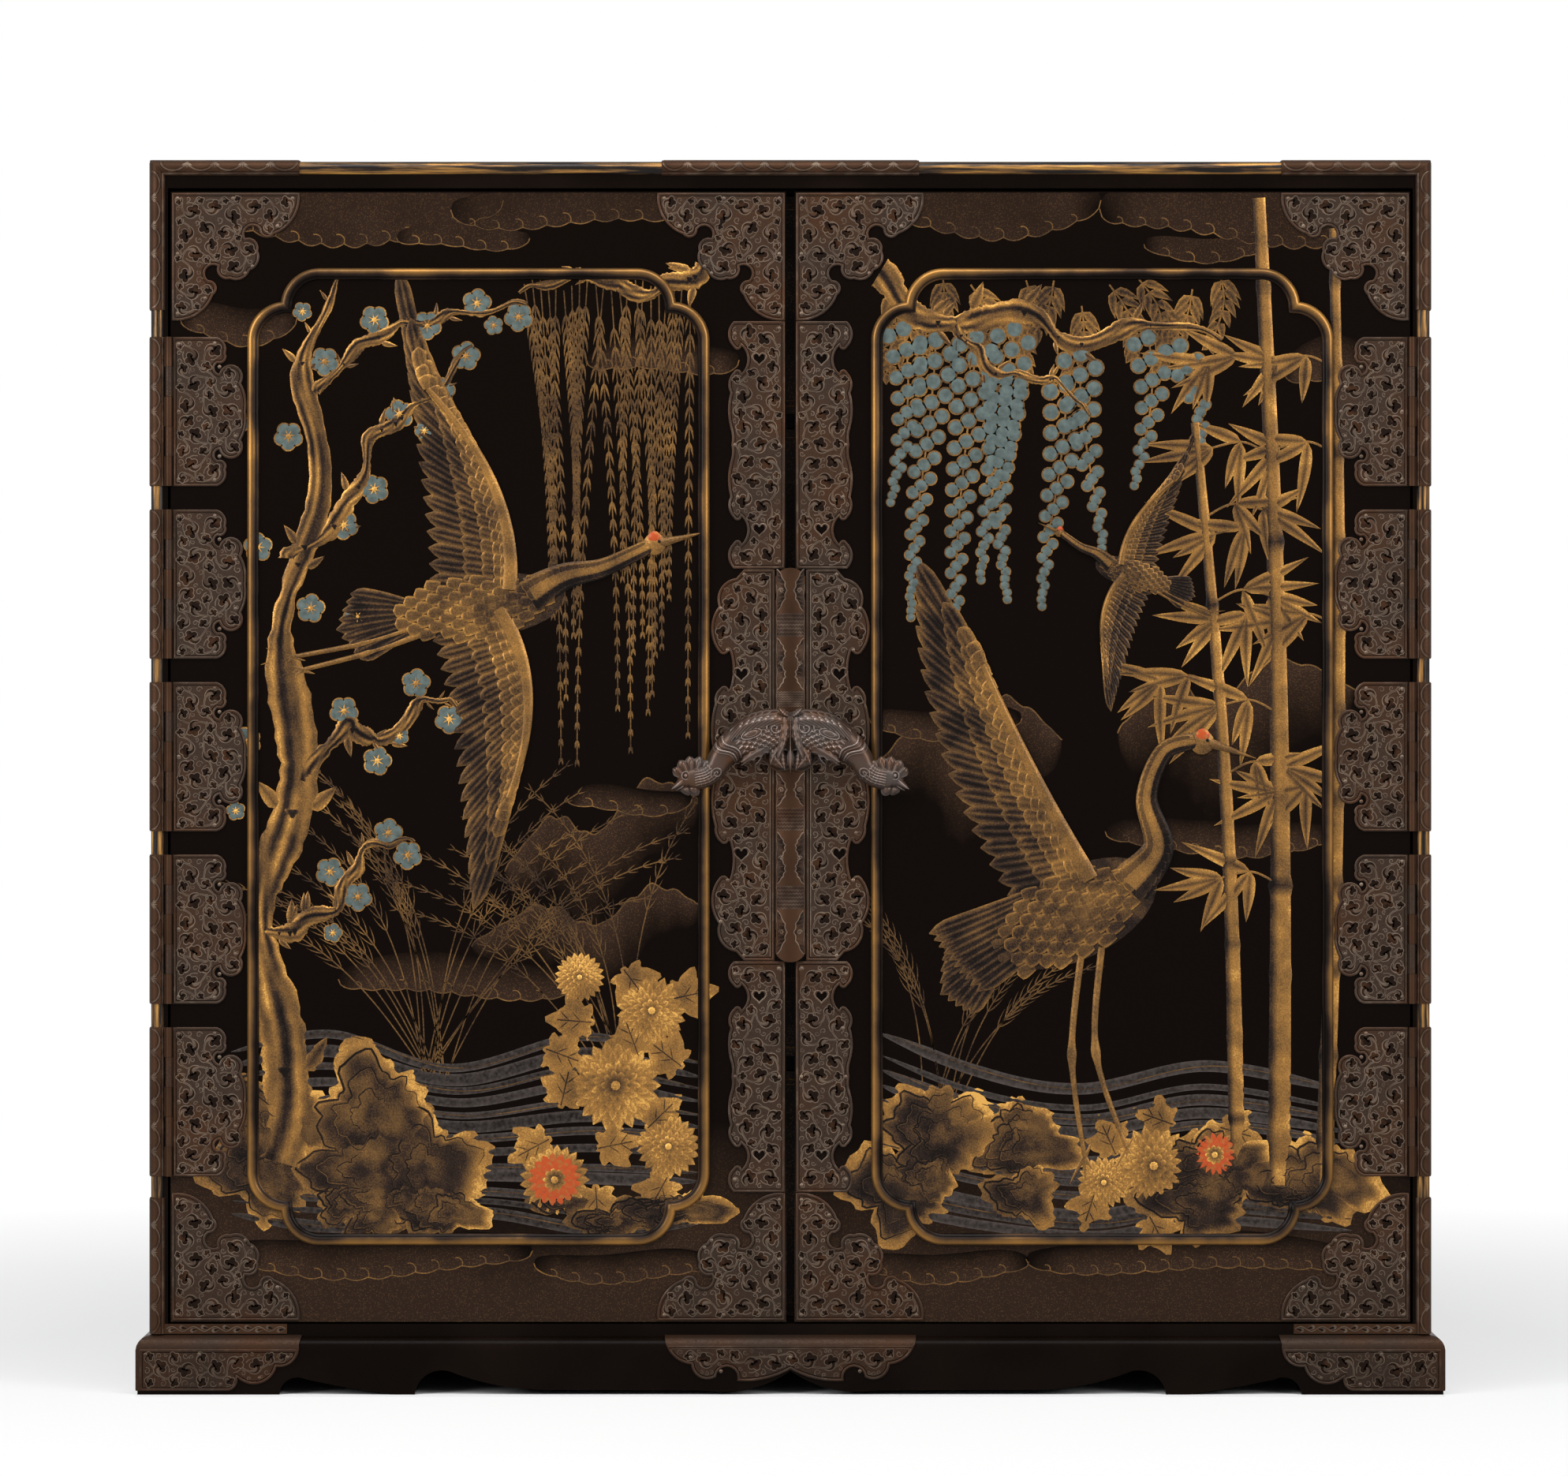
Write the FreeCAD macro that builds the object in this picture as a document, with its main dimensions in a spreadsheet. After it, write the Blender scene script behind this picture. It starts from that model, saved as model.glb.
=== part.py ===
import FreeCAD, Part
import math
import os
import re
from types import SimpleNamespace

from FreeCAD import Placement, Rotation, Vector

# A two-door lacquer cabinet on a cusped plinth, with engraved metal mounts and drawers inside.
# Millimetres. +X is to the right, +Y to the back, +Z up. The origin lies on the floor, under the
# middle of the cabinet's bounding box.

# Driving dimensions
SIZES = {
    # case
    "body_width": (922.0, "case, over the side boards"),
    "body_depth": (520.0, "case, front edge to back"),
    "body_height": (847.0, "case, from the plinth to the top"),
    "side_thickness": (12.0, "side boards"),
    "top_thickness": (19.0, "top board"),
    "bottom_thickness": (9.0, "bottom board"),
    "back_thickness": (10.0, "back panel"),
    "bead_width": (8.5, "gilt bead along the front edge"),
    "bead_rise": (2.6, "bead, in front of the case"),
    "bead_inset": (0.4, "bead, from the outer face of the case"),
    # plinth
    "plinth_height": (41.0, "plinth"),
    "plinth_overhang": (9.0, "plinth beyond the case, and the round of its shoulder"),
    "rail_thickness": (30.0, "plinth rails"),
    "apron_foot": (102.0, "corner foot, along the rail"),
    "apron_rise": (17.0, "highest point of the apron's lower edge"),
    "apron_run": (195.0, "cusps of the apron, from a foot inwards"),
    "ogee_width": (124.0, "ogee in the middle of the apron"),
    # doors
    "door_thickness": (18.0, "door boards"),
    "door_side_gap": (2.0, "door to side board"),
    "door_top_gap": (2.4, "door to top board"),
    "door_bottom_gap": (1.5, "door to bottom board"),
    "door_meeting_gap": (6.0, "between the doors"),
    "moulding_margin": (59.5, "middle of the moulding, from the edges of the door"),
    "moulding_width": (8.5, "door moulding"),
    "moulding_rise": (4.5, "door moulding, in front of the door"),
    "lobe_radius": (24.0, "lobes at the corners of the moulding"),
    # sheet metal mounts
    "plate_thickness": (1.2, "plates on the doors"),
    "mount_thickness": (1.0, "mounts on the case"),
    "mount_gap": (0.15, "mounts over the bead and the plinth"),
    "plate_inset": (1.0, "plates, from the edges of the door"),
    "corner_plate": (92.0, "legs of the corner plates"),
    "stile_plate_width": (41.0, "plates on the meeting stiles"),
    "seam": (0.6, "between neighbouring plates"),
    "edge_arm": (107.0, "arms of the top corner mounts"),
    "top_mount_width": (185.5, "top centre mount"),
    "wrap_depth": (48.0, "top centre mount, over the top board"),
    "foot_arm": (98.0, "arms of the bottom corner mounts"),
    "plinth_arm": (118.0, "arms of the plinth corner mounts"),
    "plinth_mount_width": (181.0, "plinth centre mount"),
    # hinges
    "hinge_count": (5, "hinges on each door"),
    "hinge_gap": (16.9, "between neighbouring hinges"),
    "hinge_end_gap": (12.0, "end hinges to the corner plates"),
    "hinge_room": ("=body_height - top_thickness - bottom_thickness - door_top_gap - door_bottom_gap"
                   " - 2*(plate_inset + corner_plate + hinge_end_gap)",
                   "from the foot of the lowest hinge to the head of the highest"),
    "hinge_pitch": ("=(hinge_room + hinge_gap)/hinge_count", "from one hinge to the next"),
    "hinge_height": ("=hinge_pitch - hinge_gap", "hinge leaves"),
    "leaf_width": (54.5, "hinge leaf on the door, from the door's edge"),
    "wrap_leaf_width": (56.0, "hinge leaf on the side of the case"),
    "knuckle_count": (5, "knuckles of a hinge"),
    "knuckle_radius": (2.5, "knuckles"),
    "knuckle_gap": (0.2, "between neighbouring knuckles"),
    "hinge_standoff": (2.7, "hinge axis, in front of the doors"),
    "pin_radius": (1.2, "hinge pins"),
    "pin_clearance": (0.05, "hinge pin in its knuckles"),
    # lock
    "lock_drop": (6.0, "middle of the lock plate, below the middle of the door"),
    "lock_plate_height": (282.0, "lock plate"),
    "lock_plate_reach": (54.5, "lock plate, from the meeting edge of its door"),
    "lock_bar_width": (21.6, "bar over the meeting gap"),
    "lock_bar_overhang": (1.0, "bar beyond the lock plate, at each end"),
    "lock_bar_length": ("=lock_plate_height + 2*lock_bar_overhang", "bar over the meeting gap"),
    "lock_bar_rise": (6.0, "bar, in front of the doors"),
    "lap_gap": (0.3, "bar over the left door"),
    "latch_gap": (0.3, "latch over the bar"),
    "latch_depth": (16.0, "latch, back to front"),
    "latch_width": (171.0, "latch, beak to beak"),
    "latch_rise": (15.0, "pivot of the latch, above the middle of the lock plate"),
    "latch_pin_radius": (2.5, "pivot pin of the latch"),
    "latch_head_radius": (4.5, "head of the pivot pin"),
    "latch_head_seat": (10.0, "seat of the pin's head, from the back of the latch"),
    "latch_head_height": (3.5, "head of the pivot pin"),
    "lock_case_width": (60.0, "lock case"),
    "lock_case_height": (90.0, "lock case"),
    "lock_case_depth": (12.0, "lock case"),
    "lock_setback": (2.0, "lock case and keep, from the meeting edges"),
    "bolt_length": (40.0, "lock bolt"),
    "bolt_height": (14.0, "lock bolt"),
    "bolt_thickness": (5.0, "lock bolt"),
    "bolt_gap": (0.3, "lock bolt in its case and keep"),
    "keep_width": (22.0, "keep of the lock"),
    # drawers
    "nest_recess": (34.0, "drawer fronts, behind the doors"),
    "partition_thickness": (10.0, "shelves and uprights"),
    "top_row_height": (160.0, "top drawer's bay"),
    "bottom_row_height": (180.0, "bottom drawer's bay"),
    "centre_bay_width": (300.0, "centre drawer's bay"),
    "drawer_side_gap": (0.8, "drawer in its bay, each side"),
    "drawer_seat_gap": (0.3, "drawer over its shelf"),
    "drawer_top_gap": (1.0, "drawer under its shelf"),
    "drawer_back_gap": (3.0, "drawer to back panel"),
    "drawer_front_thickness": (14.0, "drawer fronts"),
    "drawer_wall": (8.0, "drawer sides and backs"),
    "drawer_bottom": (6.0, "drawer bottoms"),
    "knob_length": (12.0, "drawer knobs"),
    "knob_radius": (8.0, "drawer knobs"),
    "knob_stem_radius": (3.0, "stems of the knobs"),
    "knob_plate_thickness": (1.5, "rosettes under the knobs"),
    "knob_spread": (150.0, "two knobs on a wide drawer, from one to the other"),
}

doc = FreeCAD.newDocument("LacquerCabinet")
sheet = doc.addObject("Spreadsheet::Sheet", "Sizes")
for row, (alias, (number, note)) in enumerate(SIZES.items(), start=1):
    sheet.set(f"A{row}", note)
    sheet.set(f"B{row}", str(number))
    sheet.setAlias(f"B{row}", alias)
doc.recompute()
d = SimpleNamespace(**{alias: float(sheet.get(alias)) for alias in SIZES})

# Places worked out from the sizes, as formulas for the sheet
LATCH_REACH = "(lock_bar_rise + latch_gap + latch_depth)"
FRONT = f"(({LATCH_REACH} - plinth_overhang - body_depth)/2)"
BACK = f"({FRONT} + body_depth)"
CASE_TOP = "(plinth_height + body_height)"
INSIDE_FLOOR = "(plinth_height + bottom_thickness)"
INSIDE_TOP = f"({CASE_TOP} - top_thickness)"
INSIDE_HALF = "(body_width/2 - side_thickness)"
DOOR_LOW = f"({INSIDE_FLOOR} + door_bottom_gap)"
DOOR_HEIGHT = f"({INSIDE_TOP} - door_top_gap - {DOOR_LOW})"
DOOR_WIDTH = f"({INSIDE_HALF} - door_side_gap - door_meeting_gap/2)"
DOOR_BACK = f"({FRONT} + door_thickness)"
LOCK_MIDDLE = f"({DOOR_LOW} + {DOOR_HEIGHT}/2 - lock_drop)"
LATCH_MIDDLE = f"({LOCK_MIDDLE} + latch_rise)"
NEST_FRONT = f"({DOOR_BACK} + nest_recess)"
NEST_DEPTH = f"({BACK} - back_thickness - {NEST_FRONT})"
HINGE_X = f"({INSIDE_HALF} - door_side_gap/2)"

# The same places as numbers, for the outlines
half = d.body_width / 2
front = (d.lock_bar_rise + d.latch_gap + d.latch_depth - d.plinth_overhang - d.body_depth) / 2
back = front + d.body_depth
case_top = d.plinth_height + d.body_height
door_low = d.plinth_height + d.bottom_thickness + d.door_bottom_gap
door_high = case_top - d.top_thickness - d.door_top_gap
door_middle = (door_low + door_high) / 2
door_outer = half - d.side_thickness - d.door_side_gap
door_inner = d.door_meeting_gap / 2
lock_middle = door_middle - d.lock_drop
latch_middle = lock_middle + d.latch_rise
axis_x = half - d.side_thickness - d.door_side_gap / 2
axis_y = front - d.hinge_standoff
bore_radius = d.pin_radius + d.pin_clearance
latch_back = front - d.lock_bar_rise - d.latch_gap
LEFT, RIGHT = -1, 1

nodes = []


# Helpers for document objects

def bound(text):
    """A formula whose size names point at their cells of the sheet."""
    return re.sub(r"[a-z_]+", lambda word: f"Sizes.{word[0]}" if word[0] in SIZES else word[0], text)


def node(item):
    """Count an object as one of the cabinet's sub-parts."""
    nodes.append(item)
    return item


def place(item, corner):
    """Bind an object's position to three formulas."""
    for axis, text in zip("xyz", corner):
        item.setExpression(f"Placement.Base.{axis}", bound(text))
    return item


def box(label, corner, extent):
    """A board: its low corner and its extent, as formulas."""
    item = doc.addObject("Part::Box", label)
    for name, text in zip(("Length", "Width", "Height"), extent):
        item.setExpression(name, bound(text))
    return place(item, corner)


UPRIGHT = Rotation()
FORWARD = Rotation(Vector(1, 0, 0), 90)


def rod(label, base, radius, length, turn=UPRIGHT):
    """A round bar from its base, upwards or forwards, as formulas."""
    item = doc.addObject("Part::Cylinder", label)
    item.Placement = Placement(Vector(), turn)
    item.setExpression("Radius", bound(radius))
    item.setExpression("Height", bound(length))
    return place(item, base)


def cut(label, base, tool):
    """One object with another taken out of it."""
    item = doc.addObject("Part::Cut", label)
    item.Base = base
    item.Tool = tool
    return item


def fuse(label, items):
    """Several objects joined to one solid."""
    item = doc.addObject("Part::MultiFuse", label)
    item.Shapes = items
    return item


def group(label, items):
    """Several separate pieces that share one node."""
    item = doc.addObject("Part::Compound", label)
    item.Links = items
    return item


def formed(label, shape):
    """A piece whose form comes from Part's own functions."""
    item = doc.addObject("Part::Feature", label)
    item.Shape = shape
    item.Placement = Placement()
    return item


def padded(label, plane, offset, outlines, depth):
    """A body padded from outlines in an origin plane, moved along the plane's normal."""
    body = doc.addObject("PartDesign::Body", label)
    body.AllowCompound = True
    sketch = body.newObject("Sketcher::SketchObject", label + "_outline")
    support = [item for item in body.Origin.OriginFeatures if item.Role == plane][0]
    sketch.AttachmentSupport = [(support, "")]
    sketch.MapMode = "FlatFace"
    sketch.setExpression("AttachmentOffset.Base.z", bound(offset))
    for outline in outlines:
        sketch.addGeometry(outline, False)
    pad = body.newObject("PartDesign::Pad", label + "_pad")
    pad.Profile = sketch
    pad.setExpression("Length", bound(depth))
    body.Tip = pad
    return body


# Helpers for outlines

def stretches(start, *steps):
    """An outline as (begin, point on the way, end): a step is a corner, or two points for an arc."""
    found = []
    for step in steps:
        middle, end = step if isinstance(step[0], tuple) else (None, step)
        found.append((start, middle, end))
        start = end
    return found


def mirrored(outline, flip):
    """The same stretches seen in a mirror and run backwards."""
    return [(flip(end), middle and flip(middle), flip(begin)) for begin, middle, end in reversed(outline)]


def with_mirror(outline, flip):
    """Half an outline and its mirror image, closed by a straight side where they don't meet."""
    whole = outline + mirrored(outline, flip)
    if whole[-1][2] != whole[0][0]:
        whole.append((whole[-1][2], None, whole[0][0]))
    return whole


def curves(outline, spot):
    """Lines and arcs of an outline, with each point put in place by spot."""
    drawn = []
    for begin, middle, end in outline:
        if middle:
            drawn.append(Part.Arc(spot(begin), spot(middle), spot(end)))
        else:
            drawn.append(Part.LineSegment(spot(begin), spot(end)))
    return drawn


def face(outline, spot):
    """A flat face with an outline, put in place by spot."""
    return Part.Face(Part.Wire([curve.toShape() for curve in curves(outline, spot)]))


# Outlines of the sheet metal, as shares of a plate's width and height

CORNER_OUTLINE = with_mirror(
    stretches(
        (0, 0), (1, 0),
        ((0.955, 0.20), (0.80, 0.325)),
        ((0.72, 0.345), (0.685, 0.285)),
        ((0.59, 0.275), (0.575, 0.355)),
        ((0.655, 0.375), (0.675, 0.455)),
        ((0.675, 0.55), (0.61, 0.61)),
    ),
    lambda point: (point[1], point[0]),
)

LEAF_OUTLINE = with_mirror(
    stretches(
        (0, 0), (0.60, 0),
        ((0.70, 0.035), (0.72, 0.11)),
        ((0.69, 0.17), (0.61, 0.175)),
        ((0.57, 0.215), (0.63, 0.245)),
        ((0.82, 0.185), (0.93, 0.31)),
        ((0.99, 0.38), (1, 0.5)),
    ),
    lambda point: (point[0], 1 - point[1]),
)

LOCK_OUTLINE = with_mirror(
    stretches(
        (0, 0), (0.48, 0), (0.60, 0.022),
        ((0.81, 0.04), (0.875, 0.095)),
        ((0.995, 0.15), (0.86, 0.213)),
        ((0.78, 0.217), (0.73, 0.196)),
        ((0.655, 0.262), (0.73, 0.318)),
        ((0.78, 0.298), (0.85, 0.303)),
        ((0.91, 0.315), (0.935, 0.343)),
        ((0.995, 0.40), (0.95, 0.47)),
        (0.935, 0.5),
    ),
    lambda point: (point[0], 1 - point[1]),
)

STILE_OUTLINE = with_mirror(
    stretches(
        (0, 0), (0.90, 0),
        ((1, 0.05), (0.90, 0.105)),
        ((0.82, 0.115), (0.76, 0.10)),
        ((0.66, 0.155), (0.76, 0.21)),
        ((0.82, 0.195), (0.90, 0.205)),
        ((0.98, 0.235), (0.96, 0.29)),
        ((1, 0.36), (0.96, 0.43)),
        ((0.93, 0.465), (0.94, 0.5)),
    ),
    lambda point: (point[0], 1 - point[1]),
)

# A heart with its tip down, around the middle of its height
HEART = with_mirror(
    stretches((0, -0.5), ((0.42, -0.1), (0.46, 0.2)), ((0.25, 0.5), (0, 0.3))),
    lambda point: (-point[0], point[1]),
)


# Case

box_sides = ("side_thickness", "body_depth", "body_height - top_thickness")
node(box("left_side_board", ("-body_width/2", FRONT, "plinth_height"), box_sides))
node(box("right_side_board", (INSIDE_HALF, FRONT, "plinth_height"), box_sides))
node(box("top_board", ("-body_width/2", FRONT, INSIDE_TOP), ("body_width", "body_depth", "top_thickness")))
node(box("bottom_board", ("-" + INSIDE_HALF, FRONT, "plinth_height"),
         (f"2*{INSIDE_HALF}", "body_depth", "bottom_thickness")))
node(box("back_panel", ("-" + INSIDE_HALF, f"{BACK} - back_thickness", INSIDE_FLOOR),
         (f"2*{INSIDE_HALF}", "back_thickness", f"{INSIDE_TOP} - {INSIDE_FLOOR}")))

# Shelves and uprights of the nest of drawers
LOWER_SHELF = f"({INSIDE_FLOOR} + bottom_row_height)"
UPPER_SHELF = f"({INSIDE_TOP} - top_row_height - partition_thickness)"
MIDDLE_LOW = f"({LOWER_SHELF} + partition_thickness)"
MIDDLE_HEIGHT = f"({UPPER_SHELF} - {MIDDLE_LOW})"
SIDE_BAY_WIDTH = f"({INSIDE_HALF} - centre_bay_width/2 - partition_thickness)"
SIDE_BAY_HEIGHT = f"(({MIDDLE_HEIGHT} - partition_thickness)/2)"
SIDE_SHELF = f"({MIDDLE_LOW} + {SIDE_BAY_HEIGHT})"
RIGHT_BAY = "(centre_bay_width/2 + partition_thickness)"

full_shelf = (f"2*{INSIDE_HALF}", NEST_DEPTH, "partition_thickness")
bay_shelf = (SIDE_BAY_WIDTH, NEST_DEPTH, "partition_thickness")
upright = ("partition_thickness", NEST_DEPTH, MIDDLE_HEIGHT)
node(box("lower_shelf", ("-" + INSIDE_HALF, NEST_FRONT, LOWER_SHELF), full_shelf))
node(box("upper_shelf", ("-" + INSIDE_HALF, NEST_FRONT, UPPER_SHELF), full_shelf))
node(box("left_upright", ("-" + RIGHT_BAY, NEST_FRONT, MIDDLE_LOW), upright))
node(box("right_upright", ("centre_bay_width/2", NEST_FRONT, MIDDLE_LOW), upright))
node(group("bay_shelves", [
    box("left_bay_shelf", ("-" + INSIDE_HALF, NEST_FRONT, SIDE_SHELF), bay_shelf),
    box("right_bay_shelf", (RIGHT_BAY, NEST_FRONT, SIDE_SHELF), bay_shelf),
]))


# Drawers

def drawer(name, bay_corner, bay_extent):
    """Front, sides, back and bottom of a drawer that fills a bay, given by its low corner and size."""
    x, z = bay_corner
    wide, tall = bay_extent
    low = (f"{x} + drawer_side_gap", NEST_FRONT, f"{z} + drawer_seat_gap")
    width = f"({wide} - 2*drawer_side_gap)"
    height = f"({tall} - drawer_seat_gap - drawer_top_gap)"
    depth = f"({NEST_DEPTH} - drawer_front_thickness - drawer_back_gap)"
    behind = f"{low[1]} + drawer_front_thickness"
    inner = f"({width} - 2*drawer_wall)"
    wall = ("drawer_wall", depth, height)
    return group(f"{name}_drawer", [
        box(f"{name}_front", low, (width, "drawer_front_thickness", height)),
        box(f"{name}_left_wall", (low[0], behind, low[2]), wall),
        box(f"{name}_right_wall", (f"{low[0]} + {width} - drawer_wall", behind, low[2]), wall),
        box(f"{name}_base", (f"{low[0]} + drawer_wall", behind, low[2]), (inner, depth, "drawer_bottom")),
        box(f"{name}_back_wall", (f"{low[0]} + drawer_wall", f"{behind} + {depth} - drawer_wall",
                                  f"{low[2]} + drawer_bottom"),
            (inner, "drawer_wall", f"{height} - drawer_bottom")),
    ])


def knob(label, x, z):
    """A button knob on a rosette, standing forward from a drawer front."""
    stem = rod(label + "_stem", (x, NEST_FRONT, z), "knob_stem_radius",
               "knob_length - knob_radius/4", FORWARD)
    rosette = rod(label + "_rosette", (x, NEST_FRONT, z), "knob_radius + 2", "knob_plate_thickness", FORWARD)
    button = doc.addObject("Part::Ellipsoid", label + "_button")
    button.Placement = Placement(Vector(), FORWARD)
    button.setExpression("Radius1", bound("knob_radius/2"))
    button.setExpression("Radius2", bound("knob_radius"))
    place(button, (x, f"{NEST_FRONT} - knob_length + knob_radius/2", z))
    return fuse(label, [stem, rosette, button])


MIDDLE_BAY = f"({MIDDLE_LOW} + {MIDDLE_HEIGHT}/2)"
BAYS = {
    # name: bay corner, bay extent, places of its knobs
    "top": (("-" + INSIDE_HALF, f"({INSIDE_TOP} - top_row_height)"), (f"2*{INSIDE_HALF}", "top_row_height"),
            ("-knob_spread", "knob_spread")),
    "left_upper": (("-" + INSIDE_HALF, f"({SIDE_SHELF} + partition_thickness)"),
                   (SIDE_BAY_WIDTH, SIDE_BAY_HEIGHT), (f"-{RIGHT_BAY} - {SIDE_BAY_WIDTH}/2",)),
    "left_lower": (("-" + INSIDE_HALF, MIDDLE_LOW), (SIDE_BAY_WIDTH, SIDE_BAY_HEIGHT),
                   (f"-{RIGHT_BAY} - {SIDE_BAY_WIDTH}/2",)),
    "centre": (("-centre_bay_width/2", MIDDLE_LOW), ("centre_bay_width", MIDDLE_HEIGHT),
               ("-centre_bay_width/3", "centre_bay_width/3")),
    "right_upper": ((RIGHT_BAY, f"({SIDE_SHELF} + partition_thickness)"),
                    (SIDE_BAY_WIDTH, SIDE_BAY_HEIGHT), (f"{RIGHT_BAY} + {SIDE_BAY_WIDTH}/2",)),
    "right_lower": ((RIGHT_BAY, MIDDLE_LOW), (SIDE_BAY_WIDTH, SIDE_BAY_HEIGHT),
                    (f"{RIGHT_BAY} + {SIDE_BAY_WIDTH}/2",)),
    "bottom": (("-" + INSIDE_HALF, INSIDE_FLOOR), (f"2*{INSIDE_HALF}", "bottom_row_height"),
               ("-knob_spread", "knob_spread")),
}
for name, (corner, extent, knob_places) in BAYS.items():
    node(drawer(name, corner, extent))
    middle = f"{corner[1]} + {extent[1]}/2"
    node(group(f"{name}_knobs", [
        knob(f"{name}_knob_{number}", x, middle) for number, x in enumerate(knob_places, start=1)
    ]))


# Plinth: a rail on each side, with a cusped lower edge and a round shoulder

def apron(length):
    """A rail's outline, half of it and its mirror image: foot, small lobe, point, large lobe, ogee."""
    end = length / 2
    foot = end - d.apron_foot
    rise = d.apron_rise
    run = d.apron_run
    ogee = d.ogee_width / 2
    lobe = stretches(
        (end, d.plinth_height), (end, 0), (foot, 0),
        ((foot - 0.02 * run, 0.5 * rise), (foot - 0.10 * run, 0.64 * rise)),
        ((foot - 0.26 * run, 0.28 * rise), (foot - 0.43 * run, 0)),
        (foot - 0.50 * run, 0),
        ((foot - 0.535 * run, 0.75 * rise), (foot - 0.625 * run, rise)),
        ((foot - 0.795 * run, 0.42 * rise), (foot - run, 0.2 * rise)),
    )
    if foot - run > 1.05 * ogee:
        lobe += stretches(lobe[-1][2], (ogee, 0.18 * rise), ((0.32 * ogee, 0.4 * rise), (0, rise)))
    else:
        lobe += stretches(lobe[-1][2], (0, 0.2 * rise))
    return with_mirror(lobe, lambda point: (-point[0], point[1]))


def rounded(body, edges):
    """Round the shoulder of a rail."""
    doc.recompute()
    pad = body.Tip
    names = [f"Edge{number}" for number, edge in enumerate(pad.Shape.Edges, start=1) if edges(edge)]
    shoulder = body.newObject("PartDesign::Fillet", body.Name + "_shoulder")
    shoulder.Base = (pad, names)
    shoulder.setExpression("Radius", bound("plinth_overhang"))
    body.Tip = shoulder
    return body


def on_top(edge):
    """Whether an edge lies in the upper face of the plinth."""
    return edge.BoundBox.ZMin > d.plinth_height - 0.01


plinth_half = half + d.plinth_overhang
plinth_front = front - d.plinth_overhang
plinth_back = back + d.plinth_overhang
front_apron = curves(apron(2 * plinth_half), lambda point: Vector(point[0], point[1], 0))
node(rounded(
    padded("plinth_front_rail", "XZ_Plane", f"-{FRONT} + plinth_overhang - rail_thickness", [front_apron],
           "rail_thickness"),
    lambda edge: on_top(edge) and edge.BoundBox.YMin < plinth_front + d.rail_thickness - 0.01))
node(rounded(
    padded("plinth_back_rail", "XZ_Plane", f"-{BACK} - plinth_overhang", [front_apron], "rail_thickness"),
    lambda edge: on_top(edge) and edge.BoundBox.YMax > plinth_back - d.rail_thickness + 0.01))
rail_middle = (plinth_front + plinth_back) / 2
side_length = plinth_back - plinth_front - 2 * d.rail_thickness
side_half = side_length / 2
side_outline = stretches(
    (side_half, d.plinth_height), (side_half, 0), (0.70 * side_half, 0),
    ((0.675 * side_half, 0.6 * d.apron_rise), (0.60 * side_half, d.apron_rise)),
    ((0.46 * side_half, 0.45 * d.apron_rise), (0, 0.2 * d.apron_rise)),
)
side_apron = curves(with_mirror(side_outline, lambda point: (-point[0], point[1])),
                    lambda point: Vector(rail_middle + point[0], point[1], 0))
node(rounded(
    padded("plinth_left_rail", "YZ_Plane", "-body_width/2 - plinth_overhang", [side_apron], "rail_thickness"),
    lambda edge: on_top(edge) and edge.BoundBox.XMax < -plinth_half + 0.01))
node(rounded(
    padded("plinth_right_rail", "YZ_Plane", "body_width/2 + plinth_overhang - rail_thickness", [side_apron],
           "rail_thickness"),
    lambda edge: on_top(edge) and edge.BoundBox.XMin > plinth_half - 0.01))


# Bead and mounts along the front edge of the case

def segment_outline(first, last, rise):
    """A circular segment on a flat side."""
    return stretches((first, 0), (((first + last) / 2, rise), (last, 0)), (first, 0))


def cap_outline():
    """Section of a mount over the bead, from the outer face of the case inwards and forwards."""
    first = d.bead_inset - d.mount_gap
    last = d.bead_inset + d.bead_width + d.mount_gap
    middle = (first + last) / 2
    rise = d.bead_rise + d.mount_gap
    wall = d.mount_thickness
    return stretches(
        (-wall, 0), ((middle, rise + wall), (last + wall, 0)),
        (last, 0), ((middle, rise), (first, 0)), (-wall, 0))


def on_side(side, height):
    """Places a section across a vertical front edge of the case."""
    return lambda point: Vector(side * (half - point[0]), front - point[1], height)


def on_head(x):
    """Places a section across the top front edge of the case."""
    return lambda point: Vector(x, front - point[1], case_top - point[0])


def swept(section, corners):
    """A section carried along straight runs with mitred corners."""
    pipe = Part.BRepOffsetAPI.MakePipeShell(Part.makePolygon(corners))
    pipe.setTransitionMode(1)
    pipe.add(section.OuterWire, False, False)
    pipe.build()
    pipe.makeSolid()
    return pipe.shape()


def joined(first, *others):
    """Several shapes as one solid, without seams in its faces."""
    return first.fuse(list(others)).removeSplitter()


bead_outline = segment_outline(d.bead_inset, d.bead_inset + d.bead_width, d.bead_rise)
mount_foot = d.plinth_height + 2 * d.mount_thickness
node(formed("edge_bead", swept(face(bead_outline, on_side(LEFT, mount_foot)), [
    Vector(-half, front, mount_foot), Vector(-half, front, case_top),
    Vector(half, front, case_top), Vector(half, front, mount_foot),
])))


def top_corner_mount(side):
    """Mount over a top front corner: the edges, and a cusped plate on the side and on the top."""
    wall = d.mount_thickness
    low = case_top - d.edge_arm
    edges = swept(face(cap_outline(), on_side(side, low)), [
        Vector(side * half, front, low), Vector(side * half, front, case_top),
        Vector(side * (half - d.edge_arm), front, case_top),
    ])
    flank = face(CORNER_OUTLINE, lambda point: Vector(
        side * half, front + point[0] * d.edge_arm, case_top - point[1] * d.edge_arm))
    cover = face(CORNER_OUTLINE, lambda point: Vector(
        side * (half + wall - point[0] * (d.edge_arm + wall)), front + point[1] * d.edge_arm, case_top))
    return joined(edges, flank.extrude(Vector(side * wall, 0, 0)), cover.extrude(Vector(0, 0, wall)))


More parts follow.
